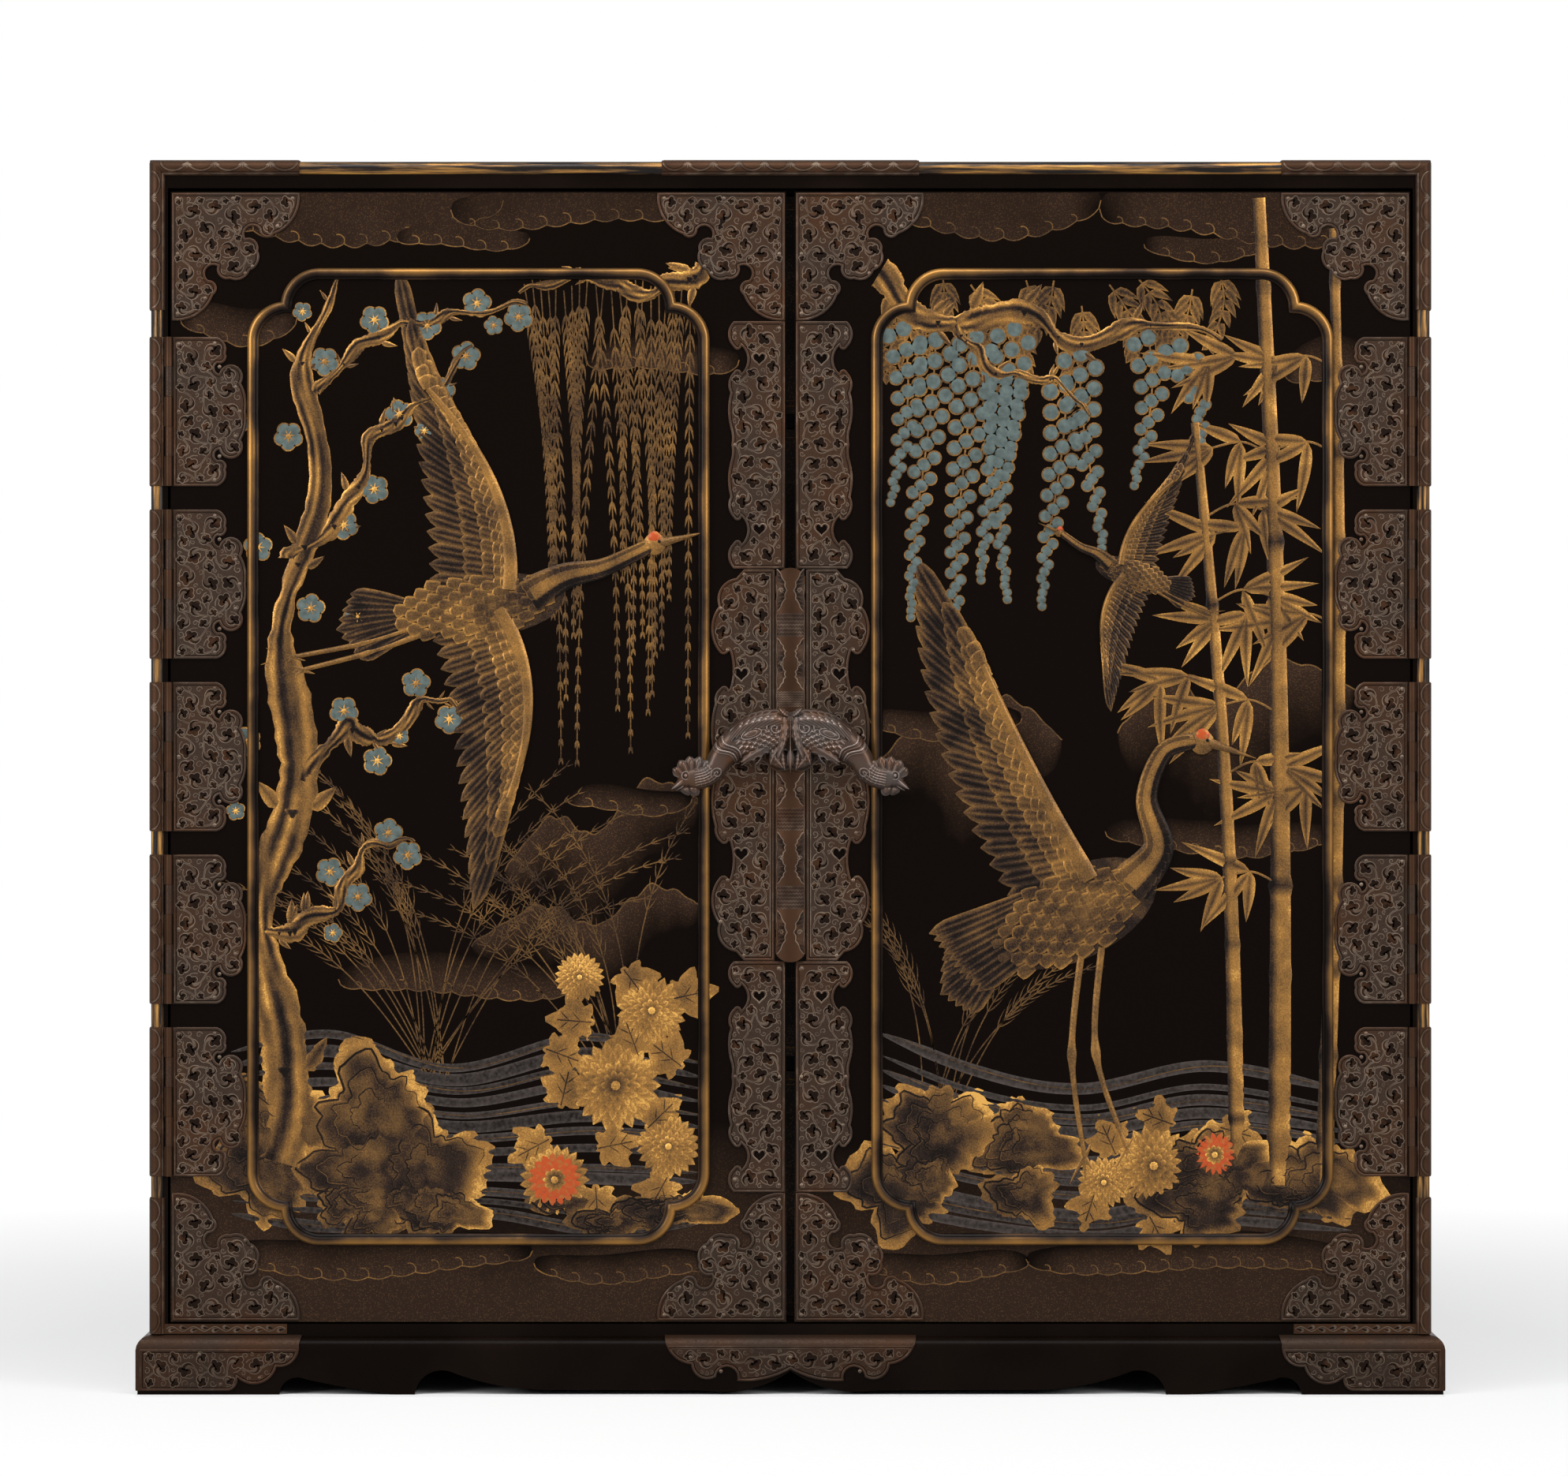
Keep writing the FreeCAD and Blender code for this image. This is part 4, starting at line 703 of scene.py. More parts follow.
def scrollwork(outline, holes=()):
    """Scrolling vine of one plate. Circles fill the plate; a stem runs through them as the shortest tree, its
    runs curved like an S, and passes each circle on one side. On the other side a hooked leaf that ends
    in a trefoil curls off, dark within a light line. Returns (grid, tone) in the plate's millimetres."""
    smallest, leafy_from = 1.7, 3.2
    circles = packed(outline, setting("rim") + 0.6, setting("scroll"), smallest, holes)
    leafy, tiny = circles[circles[:, 2] > leafy_from], circles[circles[:, 2] <= leafy_from]
    spots, radius = leafy[:, :2], leafy[:, 2:]
    parent = grown(spots)
    run = spots - spots[parent]
    long = np.linalg.norm(run, axis=1, keepdims=True)
    ahead = np.where(long > 0, run / np.maximum(long, 1e-6), (0.6, 0.8))
    hand = np.where(np.arange(len(spots)) % 2, 1, -1)[:, None]
    aside = hand * np.stack([-ahead[:, 1], ahead[:, 0]], -1)
    foot = spots - radius * (0.52 * aside + 0.35 * ahead)
    heart = spots + radius * (0.26 * aside + 0.22 * ahead)
    t = np.linspace(0, 1, 13)[:, None]
    pull = 1.35 * long[:, None]
    stem = (
        (1 + 2 * t) * (1 - t) ** 2 * foot[parent][:, None] + t * (1 - t) ** 2 * pull * ahead[parent][:, None]
        + t * t * (3 - 2 * t) * foot[:, None] - t * t * (1 - t) * pull * ahead[:, None])
    stem = stem[long[:, 0] > 0]
    t = np.linspace(0, 1, 9)[:, None]
    bend = foot + radius * (0.95 * ahead - 0.12 * aside)
    hook = (1 - t) ** 2 * foot[:, None] + 2 * t * (1 - t) * bend[:, None] + t * t * heart[:, None]
    tip = trefoil(heading(heart - bend), 0.68 * radius[:, 0])
    line = setting("line")
    thick = np.linspace(0.16, 0.72, 9) * radius
    inner = hook + (0.17 * radius * aside)[:, None] * np.sin(np.pi * t) - (0.1 * radius * ahead)[:, None]
    blade = 0.36 * np.sin(np.linspace(0.2, 3.0, 8)) * radius
    found = [
        (ribbons(stem, 2.0 * line, 0.0, 0.03, 2), 0.82),
        (ribbons(stem, 0.7 * line, 0.0, 0.05, 2), 0.35),
        (ribbons(hook, thick + 1.9 * line, 0.0, 0.04, 2), 0.84),
        (mounds(heart, tip + 0.95 * line, 0.0, 1, lift=0.04), 0.84),
        (ribbons(hook, thick, 0.0, 0.07, 2), 0.0),
        (mounds(heart, tip, 0.0, 1, lift=0.07), 0.0),
        (ribbons(inner[:, :8], blade, 0.12, 0.09, 3), 0.66)]
    curls = [(spots, 0.95 * radius, heading(-ahead)[:, None], hand, 1.0, 0.28)]
    if len(tiny):
        curls.append((tiny[:, :2], 0.9 * tiny[:, 2:], 2.1 * np.arange(len(tiny))[:, None], 1, 1.6, 0.8))
    turn = np.linspace(0, 1, 12)
    for middle, reach, start, way, wind, fade in curls:
        angle = start - way * (0.3 + 4.2 * wind * turn)
        curl = middle[:, None] + (reach * (1 - fade * turn))[..., None] * unit(angle)
        found.append((ribbons(curl, line * np.linspace(1.2, 0.7, 12), 0.0, 0.02, 2), 0.74))
    return found


def inset(outline, distance):
    """A closed outline moved inwards: each point along the mean normal of its two runs."""
    closed = trimmed(outline)
    ahead, behind = np.roll(closed, -1, 0) - closed, closed - np.roll(closed, 1, 0)
    ahead, behind = (run / np.linalg.norm(run, axis=1, keepdims=True) for run in (ahead, behind))
    mean = ahead + behind
    mean /= np.linalg.norm(mean, axis=1, keepdims=True) + 1e-9
    normal = np.stack([-mean[:, 1], mean[:, 0]], -1)
    stretch = np.clip((mean * ahead).sum(1), 0.6, 1)
    area = (closed[:, 0] * np.roll(closed[:, 1], -1) - closed[:, 1] * np.roll(closed[:, 0], -1)).sum()
    return closed + np.sign(area) * normal * distance / stretch[:, None]


def rimmed(outline):
    """Raised rim along the edge of a plate, and an engraved line inside it, as (grid, tone)."""
    rim = setting("rim")
    found = []
    for distance, width, rise, tone in ((0.55 * rim, rim, 0.42, 0.52), (rim + 0.75, 0.45, 0.05, 0.7)):
        line = inset(outline, distance)
        line = np.concatenate([line, line[:2]])
        found.append((ribbons(line, width, rise, 0.0, 5 if rise > 0.2 else 2)[:, 1:], tone))
    return found


def nailed(spots):
    """Nail heads: low domes, as (grid, tone)."""
    radius = np.full((1, 9), setting("nail") / 2)
    return [(mounds(spots, radius, 0.75, 2, lift=0.02), 0.72)]


def hearts_rimmed(hearts, way):
    """Raised lines around heart-shaped piercings, as (grid, tone): over a turn, across is 16 sin^3 and up is
    13 cos - 5 cos 2 - 2 cos 3 - cos 4. Way is 1 if their tips point to the plate's start."""
    turn = np.linspace(0, TURN, 42)
    across = 16 * np.sin(turn) ** 3
    up = 13 * np.cos(turn) - 5 * np.cos(2 * turn) - 2 * np.cos(3 * turn) - np.cos(4 * turn) + 2.5
    hearts = np.array(hearts)
    size = 0.92 * hearts[:, 2:, None] / 16
    rims = hearts[:, None, :2] + size * np.stack([across, way * up], -1)
    return [(ribbons(rims, 1.1, 0.3, 0.02, 5), 0.7)]


def engraved(outline, nails, holes=()):
    """All work on one plate: its vine, its rim and its nail heads, as (grid, tone)."""
    return scrollwork(outline, holes) + rimmed(outline) + nailed(nails)


def plate_patterns():
    """The work on the engraved plates by kind, as (grid, tone) in a plate's millimetres."""
    kinds = {}
    nails = [(4, 4), (87, 4), (4, 87), (76, 24), (24, 76), (58, 53), (53, 58), (44, 4), (4, 44)]
    kinds["corner"] = engraved(plate(CORNER, CORNER_WIDE, CORNER_WIDE), nails)
    nails = [(4, 5), (4, 53.7), (4, 102.5), (30, 4.5), (30, 103), (33.5, 21.5), (33.5, 86), (48, 53.7),
             (45, 36), (45, 71.5)]
    kinds["leaf"] = engraved(plate(LEAF, LEAF_WIDE, LEAF_TALL), nails)
    hearts = [(0.52 * LOCK_WIDE, share * LOCK_TALL, 6.2) for share in (0.27, 0.73)]
    strip = [(0, up, 3.4) for up in np.arange(0, LOCK_TALL, 2)]
    nails = [(39, 28), (39, 254), (34, 58), (34, 224), (36, 92), (36, 190), (41, 120), (41, 162), (22, 3.6),
             (22, 278.4)]
    kinds["lock"] = engraved(plate(LOCK, LOCK_WIDE, LOCK_TALL), nails, hearts + strip)
    kinds["lock"] += hearts_rimmed(hearts, -1)
    band = np.stack([np.full(30, 3.2), np.linspace(3, LOCK_TALL - 3, 30)], -1)
    kinds["lock"] += [(ribbons(band, 0.6, 0.06, 0.02, 2), 0.8)]
    for kind, tall in STILE_TALL.items():
        hearts = [(0.45 * STILE_WIDE, share * tall, 5.6) for share in (0.155, 0.845)]
        nails = [(36, 9), (36, tall - 9), (34, 0.29 * tall), (34, 0.71 * tall), (36, 0.5 * tall), (4, 5),
                 (4, tall - 5), (4, 0.5 * tall)]
        kinds[kind] = engraved(plate(STILE, STILE_WIDE, tall), nails, hearts) + hearts_rimmed(hearts, 1)
    return kinds


def hinge_middles(leaves):
    """Heights of the five hinges of a side, from the node of their leaves."""
    low, high = (corner[2] for corner in span(leaves))
    return low + LEAF_TALL / 2 + np.arange(5) * (high - low - LEAF_TALL) / 4


def dress(name, recipe):
    """Gives a CAD node its material."""
    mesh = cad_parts[name].data
    mesh.materials.clear()
    mesh.materials.append(material(recipe))


# Steps that dress the boards and the metal

class CABINET_OT_boards(bpy.types.Operator):
    """Lacquer on the boards of the case, the plinth, the doors and the drawers"""
    bl_idname = "cabinet.boards"
    bl_label = "Lacquered boards"

    def execute(self, context):
        plain = [
            "back_panel", "bay_shelves", "bottom_board", "left_side_board", "right_side_board", "top_board",
            "left_upright", "right_upright", "lower_shelf", "upper_shelf", "plinth_front_rail",
            "plinth_back_rail", "plinth_left_rail", "plinth_right_rail"]
        doors = ["left_door_board", "right_door_board"]
        for names, recipe in (
                (plain, polished_black_lacquer), (doors, shaded_lacquer), (DRAWERS, sprinkled_lacquer)):
            for name in names:
                dress(name, recipe)
        return {"FINISHED"}


class CABINET_OT_metal(bpy.types.Operator):
    """Patina on the mounts, the hinges, the lock and the knobs"""
    bl_idname = "cabinet.metal"
    bl_label = "Metal mounts"

    def execute(self, context):
        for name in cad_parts:
            edge = name.startswith(("top_", "bottom_")) and name.endswith("_mount")
            if edge or name.endswith("_case_hinge_leaves") or name == "lock_bar":
                dress(name, rubbed_copper)
            elif name.endswith(("_plates", "_plate", "_leaves", "_mount")):
                dress(name, patinated_copper)
            elif name.endswith("_knobs"):
                dress(name, gilded_brass)
            elif name in ("bird_latch", "latch_pin"):
                dress(name, chased_copper)
            elif name.startswith("lock_") or name.endswith("_pins"):
                dress(name, forged_iron)
        dress("edge_bead", worn_bead)
        return {"FINISHED"}


class CABINET_OT_mouldings(bpy.types.Operator):
    """Gilt mouldings of the doors, bright on the outer flank and dark on the inner one"""
    bl_idname = "cabinet.mouldings"
    bl_label = "Gilt mouldings"

    def execute(self, context):
        across = np.array([4.25, 4.1, 3.4, 2.2, 0.6, -0.8, -1.9, -2.5, -2.9, -3.6, -4.1, -4.25])
        height = np.array([0.0, 1.5, 3.1, 4.1, 4.5, 4.25, 3.3, 2.3, 2.0, 1.7, 0.9, 0.0])
        tone = np.array([0.35, 0.5, 0.63, 0.62, 0.48, 0.34, 0.26, 0.12, 0.1, 0.26, 0.24, 0.12])
        lobe = 24.0
        bow = lobe * np.sqrt(0.5)
        for door in SIDES:
            low, high = span(door + "_moulding")
            wide, tall = ((high - low) / 2 - across[0])[[0, 2]]
            quarter = traced([
                (0, tall), (wide - 2 * lobe, tall),
                ((wide - 2 * lobe + bow, tall - lobe + bow), (wide - lobe, tall - lobe)),
                ((wide - lobe + bow, tall - 2 * lobe + bow), (wide, tall - 2 * lobe)), (wide, 0)], steps=14)
            right = np.concatenate([quarter, (quarter * (1, -1))[::-1]])
            path = trimmed(np.concatenate([right, (right * (-1, 1))[::-1]])) + ((low + high) / 2)[[0, 2]]
            lines = np.stack([inset(path, -distance) for distance in across], 1)
            heights = np.broadcast_to(height[None, :, None], (*lines.shape[:2], 1))
            grid = np.concatenate([lines, heights], -1)
            piece = Surface()
            piece.add(on_front(np.concatenate([grid, grid[:1]])), tone)
            gilded = piece.make(door + "_gilt_moulding", door, material(worn_gilding), "gilt_lacquer")
            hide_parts(door + "_moulding")
        return {"FINISHED"}


class CABINET_OT_engraving(bpy.types.Operator):
    """Scrolling vines, rims and nail heads on the plates of the doors"""
    bl_idname = "cabinet.engraving"
    bl_label = "Engraved plates"

    def execute(self, context):
        kinds = plate_patterns()
        margin, hinge = 1.0, 445.2
        outer, inner = DOOR_HIGH[0] - margin, DOOR_LOW[0] + margin
        high, low = DOOR_HIGH[2] - margin, DOOR_LOW[2] + margin
        lock = LOCK_MIDDLE + LOCK_TALL / 2
        spots = [
            ("corner", outer, -1, high, -1), ("corner", inner, 1, high, -1), ("corner", outer, -1, low, 1),
            ("corner", inner, 1, low, 1), ("lock", BAR_HIGH[0] + SEAM, 1, lock, -1),
            ("upper", inner, 1, lock + SEAM, 1), ("lower", inner, 1, low + CORNER_WIDE + SEAM, 1)]
        for middle in hinge_middles("right_door_hinge_leaves"):
            spots.append(("leaf", hinge, -1, middle + LEAF_TALL / 2, -1))
        for door, side in SIDES.items():
            piece = Surface()
            for kind, across, way, up, rising in spots:
                for grid, tone in kinds[kind]:
                    placed = grid * (side * way, rising, 1) + (side * across, up, 0)
                    piece.add(on_front(placed, PLATE), tone)
            piece.make(door + "_engraving", door, material(graven_copper), "engraved_copper")
        return {"FINISHED"}


# Metalwork on curved grounds

def on_bar(grid):
    """Puts (across, up, height) on the convex bar: a circle that rises by BAR_RISE to BAR_CROWN."""
    half = (BAR_HIGH[0] - BAR_LOW[0]) / 2
    radius = (half * half + BAR_RISE ** 2) / (2 * BAR_RISE)
    height = BAR_CROWN - radius + np.sqrt(radius * radius - np.clip(grid[..., 0], -half, half) ** 2)
    return np.stack([grid[..., 0], FRONT - height - grid[..., 2], grid[..., 1]], -1)


class CABINET_OT_bar(bpy.types.Operator):
    """Engraving on the bar over the meeting gap: hatched bands, and acanthus leaves in pairs between them"""
    bl_idname = "cabinet.bar"
    bl_label = "Engraved bar"

    def execute(self, context):
        piece = Surface()
        edge = 9.9
        across = np.linspace(-9.8, 9.8, 19)
        for top, foot in ((562.4, 545.6), (506.0, 495.0), (422.2, 405.9), (366.0, 349.4)):
            ground = np.stack(np.broadcast_arrays(across, np.array([[foot], [top]]), 0.02), -1)
            piece.add(on_bar(ground), 0.3)
            zigzag = np.linspace(foot, top - 0.9, 7)[:, None] + 0.9 * (np.arange(19) % 2)
            lines = np.stack(np.broadcast_arrays(across, zigzag), -1)
            piece.add(on_bar(ribbons(lines, 0.7, 0.1, 0.03, 2)), 0.6)
        share = np.linspace(0, 1, 73)
        rows = np.arange(8, 66, 7)
        droop = np.sign(0.5 - share[rows, None]) * np.array([0, 0.7, 1.2, 1.4])
        wind = np.linspace(0, 8.5, 26)
        spiral = (1.9 - 0.2 * wind)[:, None] * unit(wind)
        for top, foot, lobes in (
                (594, 563.6, 1), (544.4, 507.2, 2), (447, 423.4, 1), (404.7, 367.2, 2), (348.2, 317, 1)):
            reach = np.sin(np.pi * share) ** 0.4 * (0.45 + 0.55 * np.abs(np.sin(np.pi * lobes * share)))
            reach = 7.6 * reach * (1 - 0.16 * np.abs(np.cos(5 * np.pi * lobes * share)))
            up = foot + (top - foot) * share
            for side in (1, -1):
                leaf = side * (edge - reach[:, None] * np.linspace(1, 0, 6))
                leaf = np.stack(np.broadcast_arrays(leaf, up[:, None], 0.04), -1)
                piece.add(on_bar(leaf), np.array([0.0, 0.05, 0.12, 0.2, 0.3, 0.42]))
                rim = np.stack([side * (edge - reach), up], -1)
                piece.add(on_bar(ribbons(rim, 0.75, 0.1, 0.05, 3)), 0.74)
                out = side * (9.6 - 0.8 * reach[rows, None] * np.linspace(0, 1, 4))
                vein = np.stack([out, up[rows, None] + droop], -1)
                piece.add(on_bar(ribbons(vein, 0.5, 0.06, 0.06, 2)), 0.46)
                curl = (spiral + (6.6, 0)) * (side, 1) + (0, (top + foot) / 2)
                piece.add(on_bar(ribbons(curl, 0.6, 0.1, 0.07, 2)), 0.7)
        up = np.linspace(BAR_LOW[2] + 12, BAR_HIGH[2] - 12, 90)
        for side in (1, -1):
            border = np.stack([side * (edge + 0.35 * np.cos(up * 0.55)), up], -1)
            piece.add(on_bar(ribbons(border, 0.6, 0.1, 0.03)), 0.62)
        piece.make("bar_engraving", "right_door", material(graven_copper), "engraved_copper")
        return {"FINISHED"}


def plume(u):
    """Outline of a feather: full to near its round tip."""
    return np.clip(1.06 - 0.5 * (1 - u) ** 2 - np.clip((u - 0.72) / 0.28, 0, 1) ** 2.6, 0, 1)


class Spine:
    """A body swept along a spine: flattened half ellipses across it, whose half width and height change along
    it."""

    def __init__(self, points, count=150):
        line = smooth(points, count)
        self.path, self.half, self.high = line[:, :2], line[:, 2], line[:, 3]
        step = np.linalg.norm(np.diff(self.path, axis=0), axis=1)
        self.along = np.concatenate([[0], np.cumsum(step)])
        ahead = np.gradient(self.path, axis=0)
        ahead /= np.linalg.norm(ahead, axis=1, keepdims=True)
        self.normal = np.stack([-ahead[:, 1], ahead[:, 0]], -1)

    def laid(self, grid):
        """Lays (along, across, height) on the body, in millimetres."""
        def at(values):
            """Values of the spine at the grid's points."""
            return np.interp(grid[..., 0], self.along, values)

        share = np.clip(grid[..., 1] / at(self.half), -0.995, 0.995)
        off = share * at(self.half)
        flat = [at(self.path[:, axis]) + off * at(self.normal[:, axis]) for axis in (0, 1)]
        return np.stack([*flat, at(self.high) * np.sqrt(1 - np.abs(share) ** 3) + grid[..., 2]], -1)

    def skin(self, columns=33):
        """The bare body as a grid."""
        across = np.cos(np.linspace(np.pi, 0, columns)) * self.half[:, None]
        along = np.broadcast_to(self.along[:, None], across.shape)
        return self.laid(np.stack([along, across, 0 * across], -1))


def acanthus(u):
    """Outline of a leaf with lobes along its edges and a pointed tip."""
    lobes = 1 - 0.32 * np.abs(np.cos(5 * np.pi * u))
    return np.clip(np.sin(np.pi * (0.10 + 0.88 * u)), 0, 1) ** 0.75 * lobes


def comb_lobe(u):
    """Outline of a lobe of a comb: a little narrower at its foot, blunt at its tip."""
    return np.clip(1.0 - np.clip((u - 0.55) / 0.45, 0, 1) ** 2.2 - 0.25 * (1 - u), 0, 1)


def latch_side():
    """One bird of the latch, from the pivot outwards, as (grid, tone): a body swept along its spine and laid
    with feathers, a collar, a smooth neck, the head with comb, beak and wattles, and half of the bowl, the
    leaves and the stem at the pivot."""
    bird = Spine([
        (-3, 7, 14.0, 10.0), (12, 9, 16.5, 12.4), (26, 6.5, 15.5, 12.6), (36, 2, 13.0, 11.6),
        (44, -3.5, 11.0, 10.6), (50, -10, 9.2, 10.0), (54, -17, 8.2, 9.6), (60, -22, 8.4, 9.8),
        (67, -24, 9.0, 10.0), (74, -25, 7.4, 9.0), (80, -28, 3.6, 5.5)])
    found = [(bird.skin(), 0.34)]
    # High tones on the fringes, tips, rims and ridges of the latch are painted highlights as well as rubbed
    # metal.
    fringe = np.array([1.0, 0.7, 0.16, 0.3, 0.16, 0.7, 1.0])

    def lay(grid, tone):
        """Adds work that lies on the body."""
        found.append((bird.laid(grid), tone))

    def feathers(along, across, angle, length, width, rise, rows=7, bend=0.0, lift=0.0):
        """Lays feathers with bright fringes and tips on the body."""
        roots = np.stack(np.broadcast_arrays(along, across), -1)
        tone = fringe + (0.9 - fringe) * swell(0.7, 0.95, np.linspace(0, 1, rows))[:, None]
        lay(blades(roots, angle, length, width, rise, plume, bend, lift, rows, 7), tone)

    rows = np.arange(44, 4, -3.7)[:, None]
    across = np.arange(-13.5, 6.6, 4.2) + 2.1 * (np.arange(len(rows)) % 2)[:, None]
    feathers(rows, across, np.pi, 5.5, 4.4, 1.0)
    for first, root, tilt, tall, lift in (
            (43, 11.2, 0.32, 12, 0.2), (44, 8.0, 0.35, 12, 0.6), (46, 4.6, 0.5, 13, 1.1)):
        rows = np.linspace(first, first - 36, 10)
        feathers(rows, root, np.pi - tilt, tall, 4.4, 1.3, 10, 0.05, lift + np.linspace(0.7, 0, 10))
    feathers(np.linspace(74, 84, 5)[:, None], np.linspace(-6, 5.5, 7), np.pi, 4.8, 2.2, 0.5, 6)
    turn = np.linspace(0, TURN, 33)
    oval = 1 / np.hypot(np.cos(turn) / 7.4, np.sin(turn) / 3.2)
    lay(mounds([(31, 1.6)], oval, 1.6, 4, 2.0, 0.9), np.linspace(0.3, 0.5, 5)[:, None])
    for share in (1.0, 0.55):
        lay(ribbons((31, 1.6) + share * oval[:, None] * unit(turn), 1.1, 0.9, 1.2, 5), 0.9)
    wind = np.linspace(0, 10.5, 60)
    scroll = (14, 2.5) + (5.8 - 0.5 * wind)[:, None] * unit(wind)
    lay(ribbons(scroll, 1.2, 1.1, 0.9, 5), 0.86)
    scroll = (69, -3.5) + (4.2 - 0.38 * wind)[:, None] * unit(wind)
    lay(ribbons(scroll, 1.1, 1.0, 0.5, 5), 0.8)
    off = np.linspace(-10.6, 10.6, 31)
    for place, wide, tone in ((47.5, 1.5, 0.9), (50.2, 2.2, 0.35), (52.8, 1.7, 0.92), (55.0, 1.0, 0.7)):
        collar = np.stack([place + 2.6 * np.sin(off * 0.27), off], -1)
        lay(ribbons(collar, wide, 1.2, 0.3, 5), tone)

    comb = np.array([(63, -20.2), (67, -19), (71, -19.2), (74.4, -20.4), (76.8, -22.4)])
    ray = np.array([0.92, 0.5, 0.34, 0.6, 0.34, 0.5, 0.92])
    for roots, tilt, tall, wide, rise, lift in (
            (comb, (2.0, 1.75, 1.4, 1.0, 0.55), (9.8, 10.6, 10.9, 10.6, 9.2), 8.6, 2.6, 5.0),
            (comb[1:], (1.9, 1.55, 1.2, 0.75), 8.6, 5.0, 2.2, 6.6)):
        found.append((blades(roots, tilt, tall, wide, rise, comb_lobe, 0.0, lift, 10, 7), ray))
    drop = np.array([[4.9], [4.0]]) * (1 + 0.1 * np.cos(3 * turn))
    wattles = mounds([(69.5, -32.2), (74.6, -32.8)], drop, 5.5, 5, 2.2, 1.5)
    found.append((wattles, np.linspace(0.85, 0.35, 6)[:, None]))
    eye = (75.2, -22.6)
    found.append((mounds([eye], np.full(33, 2.1), 1.9, 4, 2.4, 8.4), np.linspace(0.1, 0.95, 5)[:, None]))
    found.append((ribbons(eye + 2.8 * unit(turn), 1.1, 0.9, 8.2, 5), 0.9))
    horn = np.linspace(0.5, 0.92, 9)[:, None] * np.array([0.6, 0.8, 1, 1, 1, 0.8, 0.6])
    for root, tilt, tall, wide, lift in (
            ((77, -26.4), -0.62, 10.4, 7.0, 3.0), ((76, -29.5), -0.55, 7.5, 4.0, 1.0)):
        beak = blades([root], tilt, tall, wide, 4.6, lambda u: 1 - 0.9 * u ** 1.4, 0.0, lift, 9, 7)
        found.append((beak, horn))

    bowl = 1 / np.hypot(np.cos(turn) / 11.0, np.sin(turn) / 10.0)
    rings = 0.36 + 0.3 * np.cos(np.linspace(0, 18, 7))[:, None]
    found.append((mounds([(7, -9.5)], bowl, 9.5, 6, 2.0, 1.5), rings))
    vein = np.array([0.9, 0.45, 0.28, 0.8, 0.28, 0.45, 0.9])
    for root, tilt, tall, wide, bend, lift in (
            ((9, 2), -0.36, 30, 11.0, -0.16, 9.0), ((20, -7), -1.25, 10, 5.0, 0.3, 3.5),
            ((28, -8), -1.1, 10, 4.6, 0.35, 3.0), ((6, -1), -0.62, 15, 8.0, -0.42, 9.6),
            ((4.5, 19.5), -1.75, 29, 9.5, 0.35, 12.4), ((2.6, 12), -1.5, 18, 4.8, 0.15, 13.0),
            ((13, -4), -1.85, 16, 8.0, -0.3, 9.2), ((6, -4), -1.62, 15, 6.0, -0.1, 9.8),
            ((1.5, 20), 0.45, 9, 6.0, 0.3, 11.0)):
        found.append((blades([root], tilt, tall, wide, 2.8, acanthus, bend, lift, 26, 7), vein))
    up = np.linspace(20, -21, 30)
    broad = (1.4 + 3.4 * np.exp(-((up + 10) / 6) ** 2)) * np.minimum(1, (up + 21.6) / 8)
    found.append((ribbons(np.stack([0 * up, up], -1), broad, 2.0, 12.0, 7), vein))
    return found


class CABINET_OT_latch(bpy.types.Operator):
    """The cast latch: two crested birds, tail to tail"""
    bl_idname = "cabinet.latch"
    bl_label = "Bird latch"

    def execute(self, context):
        low, high = span("bird_latch")
        piece = Surface()
        for grid, tone in latch_side():
            for side in (1, -1):
                cast = [side * grid[..., 0], high[1] - grid[..., 2], grid[..., 1] + LATCH_MIDDLE]
                piece.add(np.clip(np.stack(cast, -1), low, high), tone)
        birds = piece.make("crested_birds", "latch", material(chased_copper), "cast_copper")
        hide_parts("bird_latch")
        return {"FINISHED"}


def rolled(grid, side):
    """Puts (across, up, height) on a mount over a front edge: across it a circle that rises to EDGE_RISE.
    Side 0 is the top edge."""
    radius = (EDGE_HALF ** 2 + EDGE_RISE ** 2) / (2 * EDGE_RISE)
    height = EDGE_RISE - radius + np.sqrt(radius * radius - np.clip(grid[..., 0], -5.5, 5.5) ** 2)
    off = EDGE_HALF - 1 + grid[..., 0]
    if side:
        return np.stack([side * (CASE_SIDE - off), FRONT - height - grid[..., 2], grid[..., 1]], -1)
    return np.stack([grid[..., 1], FRONT - height - grid[..., 2], CASE_TOP - off], -1)


def scallops(low, high):
    """Engraving over an edge, as (grid, tone): half ovals in a row, a small fan where two meet, and a lip
    line on either side."""
    count = max(round((high - low) / 19.0), 1)
    pitch = (high - low) / count
    middle = low + pitch * (np.arange(count) + 0.5)
    turn = np.linspace(0, np.pi, 17)
    found = []
    for share, width, tone in ((1.0, 0.5, 0.05), (0.9, 0.8, 0.66), (0.72, 0.4, 0.15)):
        arcs = np.stack([-4.6 + 7.2 * share * np.sin(turn) + 0 * middle[:, None],
                         middle[:, None] + 0.5 * pitch * share * np.cos(turn)], -1)
        found.append((ribbons(arcs, width, 0.05, 0.03, 2), tone))
    joint = low + pitch * np.arange(1, count)
    if count > 1:
        root = np.stack([np.full(count - 1, -4.4), joint], -1).repeat(5, 0)
        fan = np.tile(np.linspace(-0.9, 0.9, 5), count - 1)
        found.append((blades(root, fan, 4.6, 0.8, 0.08, plume, 0.0, 0.03, 5, 3), 0.66))
    for across, width, tone in ((4.3, 1.5, 0.6), (2.9, 0.5, 0.0), (-5.2, 0.7, 0.45)):
        lip = np.stack([np.full(24, across), np.linspace(low, high, 24)], -1)
        found.append((ribbons(lip, width, 0.25, 0.02, 5), tone))
    return found


